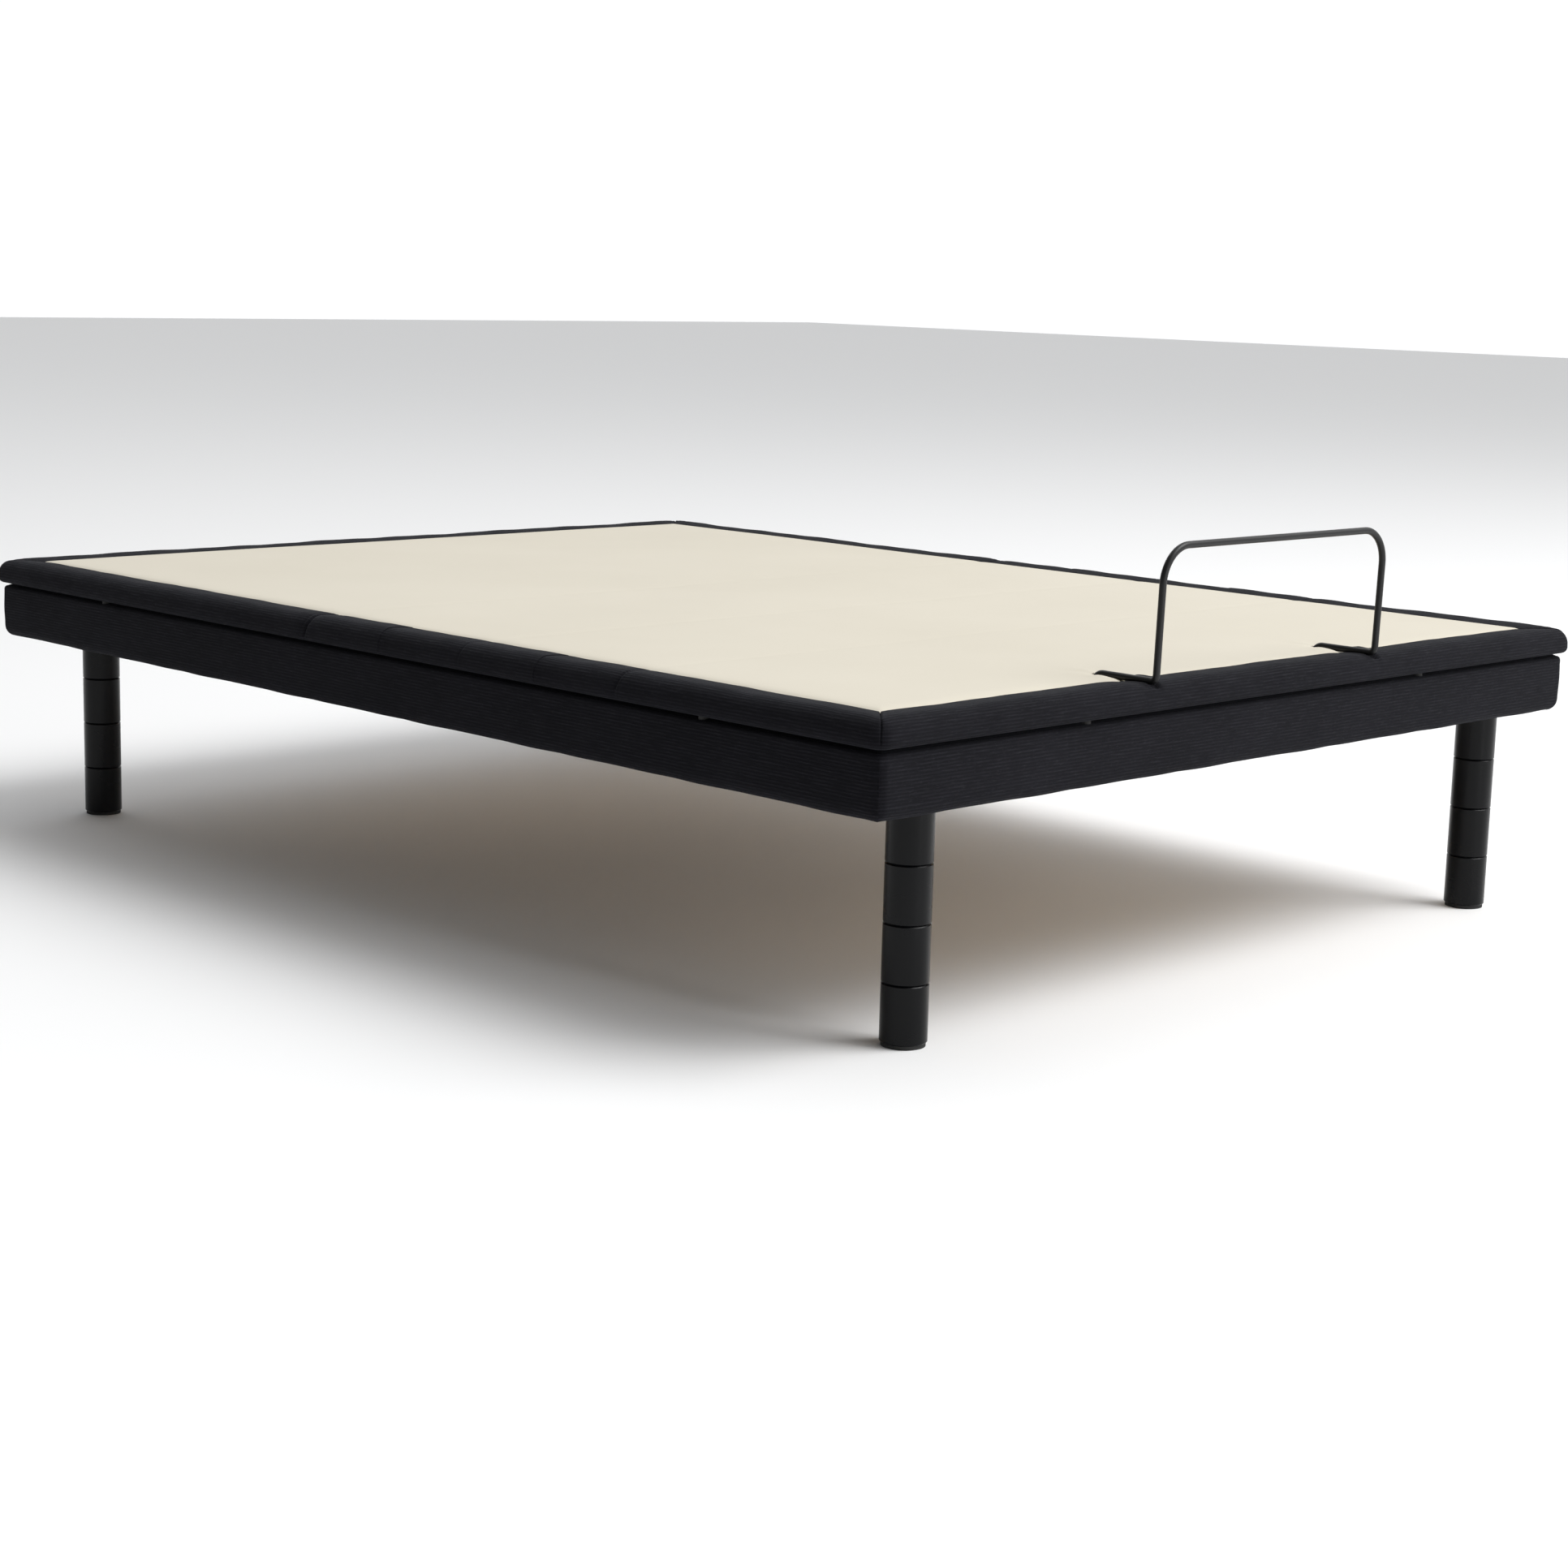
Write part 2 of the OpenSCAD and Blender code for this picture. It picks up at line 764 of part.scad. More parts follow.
z_rod = z_top + clear; // pressed half its thickness into the padding
y_rod_hole = -hy + retainer_hole_in;
y_low_bend = -hy + retainer_in + retainer_low_bend;
z_low_bend = z_rod + retainer_low_bend;
post_l = retainer_h - retainer_low_bend - retainer_top_bend;
rod_tail = 14;

// One end of the rod: up through the deck, along the cover and round to the post
module retainer_foot() {
    y_run = y_rod_hole - retainer_bend;
    translate([0, y_rod_hole, z_deck - rod_tail])
        cylinder(r = retainer_r, h = z_rod - retainer_bend - z_deck + rod_tail);
    translate([0, y_run, z_rod - retainer_bend]) rotate([90, 0, 90]) rod_bend(retainer_bend, 90);
    translate([0, y_run, z_rod]) rotate([90, 0, 0]) cylinder(r = retainer_r, h = y_run - y_low_bend);
    translate([0, y_low_bend, z_low_bend]) rotate([180, 90, 0])
        rod_bend(retainer_low_bend, 90 - retainer_lean);
}

module retainer_bar() {
    post_x = retainer_w / 2;
    top_x = post_x - retainer_top_bend;
    color("#1a1a1c") {
        for (x = [-post_x, post_x]) translate([x, 0, 0]) retainer_foot();
        translate([0, y_low_bend, z_low_bend]) rotate([retainer_lean, 0, 0])
        translate([0, -retainer_low_bend, 0]) {
            for (x = [-post_x, post_x]) translate([x, 0, 0]) {
                sphere(retainer_r + 2 * fit);
                cylinder(r = retainer_r, h = post_l);
            }
            translate([top_x, 0, post_l]) rotate([90, 0, 0]) rod_bend(retainer_top_bend, 90);
            translate([-top_x, 0, post_l]) rotate([90, 0, 180]) rod_bend(retainer_top_bend, 90);
            translate([-top_x, 0, post_l + retainer_top_bend]) rotate([0, 90, 0])
                cylinder(r = retainer_r, h = 2 * top_x);
        }
    }
}

// Nuts and washers that hold the rod's tails under the foot board
module retainer_nuts() {
    washer_t = 2;
    nut_h = 8;
    nut_r = 9;
    post_x = retainer_w / 2;
    color("silver") for (x = [-post_x, post_x]) translate([x, y_rod_hole, z_deck]) difference() {
        union() {
            translate([0, 0, -washer_t]) cylinder(r = nut_r + 3, h = washer_t);
            translate([0, 0, -washer_t - nut_h]) cylinder(r = nut_r, h = nut_h, $fn = 6);
        }
        translate([0, 0, -washer_t - nut_h - 1]) cylinder(r = retainer_r + fit, h = washer_t + nut_h + 2);
    }
}

/* Sections of the deck */

module board() { color("#b08d5e") boards(); }
module foam() { color("#d9d4c4") foams(); }
module cover() { color("#ddd6c4") covers(); }
module border() { color("#232327") borders(); }

module head() { between(y_head, hy + 1) children(); }
module seat() { between(y_thigh, y_head) children(); }
module thigh() { between(y_knee, y_thigh) children(); }
module foot() { between(-hy - 1, y_knee) children(); }

// How far a lever's slot reaches in and out from the pin, its play and its shift to one side
head_slot = [9, 10, 1.8, 0.5];
thigh_slot = [4, 5, 0.8, 0.1];

module seat_hinges() {
    color("silver") {
        leaves(y_head, true, -1);
        leaves(y_thigh, true, 1);
        hinge_pins(y_head);
        hinge_pins(y_thigh);
    }
}

module thigh_hinges() {
    color("silver") {
        leaves(y_thigh, false, -1);
        leaves(y_knee, true, 1);
        hinge_pins(y_knee);
    }
}

module section_lever(y, side, slot) {
    color("#303136") lever(y, side, slot[0], slot[1], slot[2], slot[3]);
}

module motor(x, y, side) {
    color("#202226") at_motor(x, y, side) motor_body();
}

module rod(x, y, side) {
    color("silver") at_motor(x, y, side) motor_rod();
}

module motor_brackets() {
    color("#303136") {
        motor_bracket(-motor_x, y_head_motor, 1);
        motor_bracket(motor_x, y_thigh_motor, -1);
    }
}

leg(-leg_x, leg_y_foot);  // foot_left_leg
leg(leg_x, leg_y_foot);  // foot_right_leg
leg(-leg_x, leg_y_head);  // head_left_leg
leg(leg_x, leg_y_head);  // head_right_leg
leg_glides();
leg_plates();
side_tube(-leg_x);  // left_side_tube
side_tube(leg_x);  // right_side_tube
cross_tube(leg_y_foot, rail_in_x);  // foot_cross_tube
cross_tube(leg_y_head, rail_in_x);  // head_cross_tube
cross_tube(y_head_bar, side_tube_out);  // head_motor_crossbar
cross_tube(y_thigh_bar, rail_in_x);  // thigh_motor_crossbar
side_rail(-1);  // left_rail
side_rail(1);  // right_rail
end_rail(1);  // head_rail
end_rail(-1);  // foot_rail
side_skirt(-1);  // left_skirt
side_skirt(1);  // right_skirt
end_skirt(1);  // head_skirt
end_skirt(-1);  // foot_skirt
seat_risers();
motor_brackets();
link_frame_brackets();
control_box();
power_supply();
deck_pads();
seat() board();  // seat_board
seat() foam();  // seat_foam
seat() cover();  // seat_cover
seat() border();  // seat_border
seat_hinges();
head() board();  // head_board
head() foam();  // head_foam
head() cover();  // head_cover
head() border();  // head_border
color("silver") leaves(y_head, false, 1);  // head_hinge_leaves
stiffeners(y_head + stiff_back, board_y - stiff_end_in);  // head_stiffeners
section_lever(y_head, 1, head_slot);  // head_lever
thigh() board();  // thigh_board
thigh() foam();  // thigh_foam
thigh() cover();  // thigh_cover
thigh() border();  // thigh_border
thigh_hinges();
stiffeners(y_knee + stiff_back, y_thigh - stiff_back);  // thigh_stiffeners
section_lever(y_thigh, -1, thigh_slot);  // thigh_lever
foot() board();  // foot_board
foot() foam();  // foot_foam
foot() cover();  // foot_cover
foot() border();  // foot_border
color("silver") leaves(y_knee, false, -1);  // foot_hinge_leaves
stiffeners(stiff_end_in - board_y, y_knee - stiff_back);  // foot_stiffeners
foot_link_brackets();
retainer_bar();
retainer_nuts();
link(-1);  // left_link
link(1);  // right_link
motor(-motor_x, y_head_motor, 1);  // head_motor
rod(-motor_x, y_head_motor, 1);  // head_motor_rod
motor(motor_x, y_thigh_motor, -1);  // thigh_motor
rod(motor_x, y_thigh_motor, -1);  // thigh_motor_rod
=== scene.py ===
import math

import bmesh
import bpy
import numpy as np
from mathutils import Matrix, Vector


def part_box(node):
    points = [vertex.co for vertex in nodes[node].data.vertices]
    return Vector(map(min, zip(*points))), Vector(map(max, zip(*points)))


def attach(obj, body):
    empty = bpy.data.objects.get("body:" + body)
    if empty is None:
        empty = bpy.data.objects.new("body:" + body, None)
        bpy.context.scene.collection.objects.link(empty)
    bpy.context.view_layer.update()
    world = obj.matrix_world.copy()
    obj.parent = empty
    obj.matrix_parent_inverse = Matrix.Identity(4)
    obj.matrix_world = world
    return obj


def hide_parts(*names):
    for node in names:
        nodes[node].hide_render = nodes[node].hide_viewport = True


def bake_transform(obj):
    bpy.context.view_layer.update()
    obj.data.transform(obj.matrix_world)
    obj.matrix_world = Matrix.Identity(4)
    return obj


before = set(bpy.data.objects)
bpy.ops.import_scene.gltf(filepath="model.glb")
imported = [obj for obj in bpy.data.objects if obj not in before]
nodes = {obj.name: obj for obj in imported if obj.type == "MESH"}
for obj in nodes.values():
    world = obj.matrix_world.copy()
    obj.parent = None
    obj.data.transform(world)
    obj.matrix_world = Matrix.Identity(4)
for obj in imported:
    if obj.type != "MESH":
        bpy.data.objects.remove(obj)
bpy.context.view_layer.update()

bpy.ops.object.select_all(action="DESELECT")

# Lines and levels of the bed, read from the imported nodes
deck = {
    "halfX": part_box("seat_border")[1].x,  # outer face of the padded border
    "boardX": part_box("seat_board")[1].x,  # edge of the boards, where the border starts
    "boardY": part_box("head_board")[1].y,
    "bottom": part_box("seat_board")[0].z,
    "boardTop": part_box("seat_board")[1].z,
    "foamTop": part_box("seat_foam")[1].z,
    "top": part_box("seat_cover")[1].z,
    "headHinge": (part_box("seat_board")[1].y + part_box("head_board")[0].y) / 2,
    "thighHinge": (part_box("seat_board")[0].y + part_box("thigh_board")[1].y) / 2,
    "kneeHinge": (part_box("thigh_board")[0].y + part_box("foot_board")[1].y) / 2,
}
deck["midSeat"] = (deck["headHinge"] + deck["thighHinge"]) / 2
deck["midThigh"] = (deck["thighHinge"] + deck["kneeHinge"]) / 2

rodLow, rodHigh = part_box("retainer_bar")
rodRadius = 0.00475
postX = rodHigh.x - rodRadius  # the two ends of the retainer stand at plus and minus this
rodHoleY = rodHigh.y - rodRadius
rodOuterY = rodLow.y  # outermost point of the posts


# Camera, light and floor

mainView = {
    "place": (-3.1079, -3.2351, 0.9405),
    "yaw": 44.47,
    "down": 10.37,
    "roll": 1.52,
    "lens": 65.21,
    "shift": (0.00497, -0.00083),
}

studio = {
    "darkSide": 0.14,  # sky strength towards -X
    "brightSide": 1.05,
    "keyPlace": (3.8, -5.2, 8.2),
    "keySize": 6.0,
    "keyPower": 820,
    "stripPlace": (-0.3, -5.5, 0.95),  # tall soft light in front of the foot end
    "stripSize": (0.45, 1.7),
    "stripPower": 24,
    "floorSize": 60,
    "floorWhite": 0.93,
}


def setCamera(view):
    yaw, down, roll = (math.radians(view[key]) for key in ("yaw", "down", "roll"))
    forward = Vector((math.sin(yaw) * math.cos(down), math.cos(yaw) * math.cos(down), -math.sin(down)))
    level = Vector((math.cos(yaw), -math.sin(yaw), 0))
    upright = level.cross(forward)
    right = math.cos(roll) * level + math.sin(roll) * upright
    up = math.cos(roll) * upright - math.sin(roll) * level
    camera = bpy.data.objects.new("camera", bpy.data.cameras.new("camera"))
    bpy.context.scene.collection.objects.link(camera)
    turn = Matrix((right, up, -forward)).transposed().to_4x4()
    camera.matrix_world = Matrix.Translation(view["place"]) @ turn
    camera.data.sensor_width = 36
    camera.data.lens = view["lens"]
    camera.data.shift_x, camera.data.shift_y = view["shift"]
    camera.data.clip_end = 200
    bpy.context.scene.camera = camera


def addNode(tree, kind, inputs=None, **settings):
    node = tree.nodes.new("ShaderNode" + kind)
    for key, value in settings.items():
        setattr(node, key, value)
    for key, value in (inputs or {}).items():
        if isinstance(value, bpy.types.NodeSocket):
            tree.links.new(value, node.inputs[key])
        else:
            node.inputs[key].default_value = value
    return node


def addSoftLight(name, place, size, power):
    lamp = bpy.data.lights.new(name, "AREA")
    lamp.shape = "RECTANGLE"
    lamp.size, lamp.size_y = size
    lamp.energy = power
    light = bpy.data.objects.new(name, lamp)
    bpy.context.scene.collection.objects.link(light)
    aim = Vector((0, 0, 0.3)) - Vector(place)
    light.matrix_world = Matrix.Translation(place) @ aim.to_track_quat("-Z", "Y").to_matrix().to_4x4()


def buildStudio(settings):
    scene = bpy.context.scene
    scene.view_settings.view_transform = "Standard"
    world = bpy.data.worlds.new("studioSky")
    scene.world = world
    world.use_nodes = True
    tree = world.node_tree
    sky = tree.nodes["Background"]
    direction = addNode(tree, "TexCoord").outputs["Generated"]
    across = addNode(tree, "SeparateXYZ", {0: direction}).outputs["X"]
    fade = addNode(
        tree, "MapRange",
        {"Value": across, "From Min": -0.55, "From Max": 0.35,
         "To Min": settings["darkSide"], "To Max": settings["brightSide"]},
        interpolation_type="SMOOTHSTEP",
    )
    tree.links.new(fade.outputs["Result"], sky.inputs["Strength"])
    sky.inputs["Color"].default_value = (0.985, 0.992, 1, 1)

    addSoftLight("keyLight", settings["keyPlace"], (settings["keySize"], settings["keySize"]),
                 settings["keyPower"])
    addSoftLight("stripLight", settings["stripPlace"], settings["stripSize"], settings["stripPower"])

    bpy.ops.mesh.primitive_plane_add(size=settings["floorSize"], location=(0, 0, 0))
    floor = bpy.context.object
    floor.name = "studioFloor"
    material = bpy.data.materials.new("paleFloor")
    material.use_nodes = True
    shader = material.node_tree.nodes["Principled BSDF"]
    white = settings["floorWhite"]
    shader.inputs["Base Color"].default_value = (white, white, white, 1)
    shader.inputs["Roughness"].default_value = 0.9
    shader.inputs["Specular IOR Level"].default_value = 0.1
    floor.data.materials.append(material)
    bpy.ops.object.select_all(action="DESELECT")


setCamera(mainView)
buildStudio(studio)
print("studio ready")


# Materials

def startMaterial(name):
    material = bpy.data.materials.new(name)
    material.use_nodes = True
    tree = material.node_tree
    return material, tree, tree.nodes["Principled BSDF"]


def setShader(shader, **values):
    for key, value in values.items():
        shader.inputs[key.replace("_", " ")].default_value = value


def mathNode(tree, operation, first, second=0.0):
    return addNode(tree, "Math", {0: first, 1: second}, operation=operation).outputs[0]


def objectPoint(tree):
    return addNode(tree, "TexCoord").outputs["Object"]


def stretchedPoint(tree, point, scale):
    return addNode(tree, "Mapping", {"Vector": point, "Scale": scale}).outputs["Vector"]


def noiseAt(tree, point, scale, detail=3.0, roughness=0.55):
    values = {"Vector": point, "Scale": scale, "Detail": detail, "Roughness": roughness}
    return addNode(tree, "TexNoise", values).outputs["Fac"]


def rampBetween(tree, factor, low, high, start=0.0, end=1.0):
    ramp = addNode(tree, "ValToRGB", {"Fac": factor})
    ramp.color_ramp.elements[0].position = start
    ramp.color_ramp.elements[1].position = end
    ramp.color_ramp.elements[0].color = (*low, 1)
    ramp.color_ramp.elements[1].color = (*high, 1)
    return ramp.outputs["Color"]


def fillRange(tree, factor, low, high, start=0.0, end=1.0):
    values = {"Value": factor, "From Min": start, "From Max": end, "To Min": low, "To Max": high}
    return addNode(tree, "MapRange", values).outputs["Result"]


def bumpFrom(tree, shader, height, strength, distance):
    bump = addNode(tree, "Bump", {"Height": height, "Strength": strength, "Distance": distance})
    tree.links.new(bump.outputs["Normal"], shader.inputs["Normal"])


# Even waves along one axis, from minus one to one
def wavesOn(tree, axis, pitch):
    return mathNode(tree, "SINE", mathNode(tree, "MULTIPLY", axis, 2 * math.pi / pitch))


def colourFrom(tree, shader, shade, low, high, start, end):
    tree.links.new(rampBetween(tree, shade, low, high, start, end), shader.inputs["Base Color"])


def roughnessFrom(tree, shader, value, smooth, rough, start, end):
    tree.links.new(fillRange(tree, value, smooth, rough, start, end), shader.inputs["Roughness"])


def ribbedFabric(name, look):
    material, tree, shader = startMaterial(name)
    place = addNode(tree, "TexCoord").outputs["UV"]  # metres along and across the piece
    axes = addNode(tree, "SeparateXYZ", {0: place}).outputs
    wander = noiseAt(tree, stretchedPoint(tree, place, (18, 60, 1)), 1.0, 2.0)
    across = mathNode(tree, "ADD", axes["Y"], mathNode(tree, "MULTIPLY", wander, look["wander"]))
    ribs = wavesOn(tree, across, look["ribPitch"])
    patchy = noiseAt(tree, stretchedPoint(tree, place, (34, 300, 1)), 1.0, 2.0)
    patchy = fillRange(tree, patchy, 0.1, 1, 0.35, 0.7)
    ribs = mathNode(tree, "MULTIPLY", fillRange(tree, ribs, 0, 1, -1, 1), patchy)
    threads = wavesOn(tree, axes["X"], look["threadPitch"])
    threads = fillRange(tree, threads, 0, 1, -1, 1)
    slubs = noiseAt(tree, stretchedPoint(tree, place, (110, 700, 1)), 1.0, 2.0, 0.6)
    slubs = fillRange(tree, slubs, 0, 1.4, 0.60, 0.72)
    clouds = noiseAt(tree, place, 7.0, 3.0)
    body = mathNode(tree, "MULTIPLY_ADD", threads, 0.18)
    tree.links.new(ribs, body.node.inputs[2])
    relief = mathNode(tree, "ADD", body, mathNode(tree, "MULTIPLY", slubs, 0.5))
    # Colour follows the rib relief as well as uneven tone: painted shade in the rib valleys, painted
    # highlight on the rib crests and slubs.
    shade = mathNode(tree, "MULTIPLY_ADD", clouds, 0.5)
    tree.links.new(mathNode(tree, "MULTIPLY", relief, 0.5), shade.node.inputs[2])
    colourFrom(tree, shader, shade, look["valleyWithPaintedShade"], look["crestWithPaintedHighlight"], 0.12, 1.05)
    tree.links.new(fillRange(tree, relief, 0.92, 0.74, 0, 1.4), shader.inputs["Roughness"])
    setShader(shader, Specular_IOR_Level=0.11, Sheen_Weight=look["sheen"], Sheen_Roughness=0.45,
              Sheen_Tint=(0.8, 0.86, 1, 1))
    bumpFrom(tree, shader, relief, 0.55, look["relief"])
    return material


def stretchKnit(name, look):
    material, tree, shader = startMaterial(name)
    place = addNode(tree, "TexCoord").outputs["UV"]
    axes = addNode(tree, "SeparateXYZ", {0: place}).outputs
    courses = wavesOn(tree, axes["Y"], look["course"])
    wales = wavesOn(tree, axes["X"], look["wale"])
    loops = mathNode(tree, "MULTIPLY", courses, wales)
    fuzz = noiseAt(tree, place, 900.0, 2.0)
    clouds = noiseAt(tree, place, 2.2, 4.0)
    relief = mathNode(tree, "ADD", mathNode(tree, "MULTIPLY", loops, 0.35), fuzz)
    tint = mathNode(tree, "MULTIPLY", clouds, 0.8)
    tint = mathNode(tree, "ADD", tint, mathNode(tree, "MULTIPLY", fuzz, 0.25))
    colourFrom(tree, shader, tint, look["low"], look["high"], 0.2, 0.85)
    tree.links.new(fillRange(tree, fuzz, 0.8, 0.95), shader.inputs["Roughness"])
    setShader(shader, Specular_IOR_Level=0.2, Sheen_Weight=0.12, Sheen_Roughness=0.6)
    bumpFrom(tree, shader, relief, 0.25, 0.0004)
    return material


def powderCoat(name, look):
    material, tree, shader = startMaterial(name)
    point = objectPoint(tree)
    peel = noiseAt(tree, point, look["peel"], 2.0)
    dust = noiseAt(tree, point, 9.0, 5.0)
    colourFrom(tree, shader, dust, look["low"], look["high"], 0.3, 0.8)
    roughnessFrom(tree, shader, dust, look["roughness"] - 0.05, look["roughness"] + 0.08, 0.25, 0.75)
    setShader(shader, Specular_IOR_Level=look["gloss"])
    bumpFrom(tree, shader, peel, 0.2, look["relief"])
    return material


def barePlate(name, look):
    material, tree, shader = startMaterial(name)
    point = objectPoint(tree)
    drawn = noiseAt(tree, stretchedPoint(tree, point, look["grain"]), 1.0, 3.0)
    clouds = noiseAt(tree, point, 30.0, 4.0)
    colourFrom(tree, shader, clouds, look["low"], look["high"], 0.3, 0.75)
    roughnessFrom(tree, shader, drawn, look["roughness"] - 0.07, look["roughness"] + 0.12, 0.3, 0.7)
    setShader(shader, Metallic=1.0)
    bumpFrom(tree, shader, drawn, 0.15, 0.0002)
    return material


def softwood(name, look):
    material, tree, shader = startMaterial(name)
    point = objectPoint(tree)
    long = stretchedPoint(tree, point, look["grain"])
    warp = noiseAt(tree, long, 1.4, 3.0)
    rings = addNode(tree, "TexWave", {"Vector": long, "Scale": 1.1, "Distortion": 6.0, "Detail": 2.0,
                                      "Detail Scale": 1.2}, bands_direction="DIAGONAL").outputs["Fac"]
    fibres = noiseAt(tree, stretchedPoint(tree, long, (3, 3, 3)), 6.0, 4.0)
    figure = mathNode(tree, "MULTIPLY", rings, 0.5)
    figure = mathNode(tree, "ADD", figure, mathNode(tree, "MULTIPLY", warp, 0.3))
    figure = mathNode(tree, "ADD", figure, mathNode(tree, "MULTIPLY", fibres, 0.3))
    colourFrom(tree, shader, figure, look["low"], look["high"], 0.2, 0.9)
    tree.links.new(fillRange(tree, fibres, 0.55, 0.8), shader.inputs["Roughness"])
    bumpFrom(tree, shader, figure, 0.25, 0.0006)
    return material


def plywood(name, look):
    material, tree, shader = startMaterial(name)
    point = objectPoint(tree)
    long = stretchedPoint(tree, point, (16, 2.2, 16))
    waves = addNode(tree, "TexWave", {"Vector": long, "Scale": 0.16, "Distortion": 16.0, "Detail": 3.0,
                                      "Detail Scale": 0.7}).outputs["Fac"]
    fibres = noiseAt(tree, stretchedPoint(tree, point, (500, 22, 500)), 1.0, 3.0)
    height = addNode(tree, "SeparateXYZ", {0: point}).outputs["Z"]
    plies = wavesOn(tree, height, look["ply"])
    plies = fillRange(tree, plies, 0, 1, -0.3, 0.3)
    figure = mathNode(tree, "MULTIPLY", waves, 0.25)
    figure = mathNode(tree, "ADD", figure, mathNode(tree, "MULTIPLY", fibres, 0.4))
    figure = mathNode(tree, "ADD", figure, mathNode(tree, "MULTIPLY", plies, 0.2))
    colourFrom(tree, shader, figure, look["low"], look["high"], 0.15, 0.95)
    tree.links.new(fillRange(tree, fibres, 0.5, 0.75), shader.inputs["Roughness"])
    bumpFrom(tree, shader, figure, 0.2, 0.0004)
    return material


def openFoam(name, look):
    material, tree, shader = startMaterial(name)
    point = objectPoint(tree)
    cells = addNode(tree, "TexVoronoi", {"Vector": point, "Scale": 600.0}).outputs["Distance"]
    clouds = noiseAt(tree, point, 12.0, 4.0)
    colourFrom(tree, shader, clouds, look["low"], look["high"], 0.3, 0.7)
    tree.links.new(fillRange(tree, cells, 0.8, 1.0), shader.inputs["Roughness"])
    bumpFrom(tree, shader, cells, 0.5, 0.0008)
    return material


def mouldedPlastic(name, look):
    material, tree, shader = startMaterial(name)
    point = objectPoint(tree)
    spark = noiseAt(tree, point, look["spark"], 3.0, 0.7)
    clouds = noiseAt(tree, point, 14.0, 4.0)
    colourFrom(tree, shader, clouds, look["low"], look["high"], 0.3, 0.75)
    roughnessFrom(tree, shader, spark, look["roughness"] - 0.08, look["roughness"] + 0.08, 0.3, 0.7)
    bumpFrom(tree, shader, spark, 0.35, 0.0003)
    return material


fabricLook = {
    "ribPitch": 0.0044, "threadPitch": 0.0014, "wander": 0.0016, "relief": 0.0010, "sheen": 0.03,
    # Low and high fabric tones; the step between them is painted shade in the rib valleys and painted
    # highlight on the crests.
    "valleyWithPaintedShade": (0.0030, 0.0029, 0.0042), "crestWithPaintedHighlight": (0.0150, 0.0145, 0.0192),
}
knitLook = {
    "course": 0.0019, "wale": 0.0016, "low": (0.612, 0.566, 0.466), "high": (0.668, 0.622, 0.522),
}
legLook = {
    "low": (0.0020, 0.0022, 0.0027), "high": (0.0034, 0.0036, 0.0044),
    "peel": 1400.0, "relief": 0.0002, "roughness": 0.24, "gloss": 0.17,
}
frameLook = {
    "low": (0.014, 0.014, 0.015), "high": (0.026, 0.025, 0.024),
    "peel": 900.0, "relief": 0.0003, "roughness": 0.46, "gloss": 0.4,
}
retainerLook = {
    "low": (0.0050, 0.0050, 0.0052), "high": (0.0085, 0.0085, 0.0088),
    "peel": 1500.0, "relief": 0.0002, "roughness": 0.36, "gloss": 0.34,
}
zincLook = {
    "low": (0.50, 0.50, 0.48), "high": (0.66, 0.66, 0.67), "grain": (60, 900, 900), "roughness": 0.36,
}
steelLook = {
    "low": (0.58, 0.58, 0.59), "high": (0.68, 0.68, 0.69), "grain": (200, 1600, 200), "roughness": 0.22,
}
woodLook = {"low": (0.42, 0.27, 0.14), "high": (0.66, 0.49, 0.30)}
plyLook = {"low": (0.46, 0.32, 0.18), "high": (0.70, 0.54, 0.35), "ply": 0.0032}
foamLook = {"low": (0.70, 0.62, 0.42), "high": (0.80, 0.74, 0.56)}
motorLook = {
    "low": (0.014, 0.014, 0.015), "high": (0.024, 0.024, 0.025), "spark": 1100.0, "roughness": 0.52,
}
rubberLook = {
    "low": (0.010, 0.010, 0.010), "high": (0.020, 0.020, 0.019), "spark": 600.0, "roughness": 0.78,
}
looks = {
    "legBlack": powderCoat("legBlack", legLook),
    "frameBlack": powderCoat("frameBlack", frameLook),
    "retainerBlack": powderCoat("retainerBlack", retainerLook),
    "zinc": barePlate("zinc", zincLook),
    "rodSteel": barePlate("rodSteel", steelLook),
    "woodAlongY": softwood("woodAlongY", {**woodLook, "grain": (26, 1.6, 26)}),
    "woodAlongX": softwood("woodAlongX", {**woodLook, "grain": (1.6, 26, 26)}),
    "boardPly": plywood("boardPly", plyLook),
    "foamCream": openFoam("foamCream", foamLook),
    "motorPlastic": mouldedPlastic("motorPlastic", motorLook),
    "rubber": mouldedPlastic("rubber", rubberLook),
    "ribbedFabric": ribbedFabric("ribbedFabric", fabricLook),
    "stretchKnit": stretchKnit("stretchKnit", knitLook),
}
print("materials ready")


# Soft pieces: padded rolls swept along the edge of the deck

def ripple(along, seed, waves):
    phases = np.random.default_rng(seed).uniform(0, 2 * math.pi, len(waves))
    return sum(size * np.sin(2 * math.pi * along / length + phase)
               for (length, size), phase in zip(waves, phases))


def arc(centre, radius, start, end, steps):
    angles = np.radians(np.linspace(start, end, steps + 1))
    return [(centre[0] + radius * math.cos(a), centre[1] + radius * math.sin(a)) for a in angles]


def line(start, end, steps):
    return [tuple(point) for point in np.linspace(start, end, steps + 1)]


def closedProfile(stretches):
    points = []
    for point in (point for stretch in stretches for point in stretch):
        if not points or math.dist(point, points[-1]) > 1e-6:
            points.append(point)
    if math.dist(points[0], points[-1]) < 1e-6:
        points.pop()
    points = np.array(points)
    steps = np.linalg.norm(np.roll(points, -1, axis=0) - points, axis=1)
    return points, np.concatenate([[0], np.cumsum(steps)])


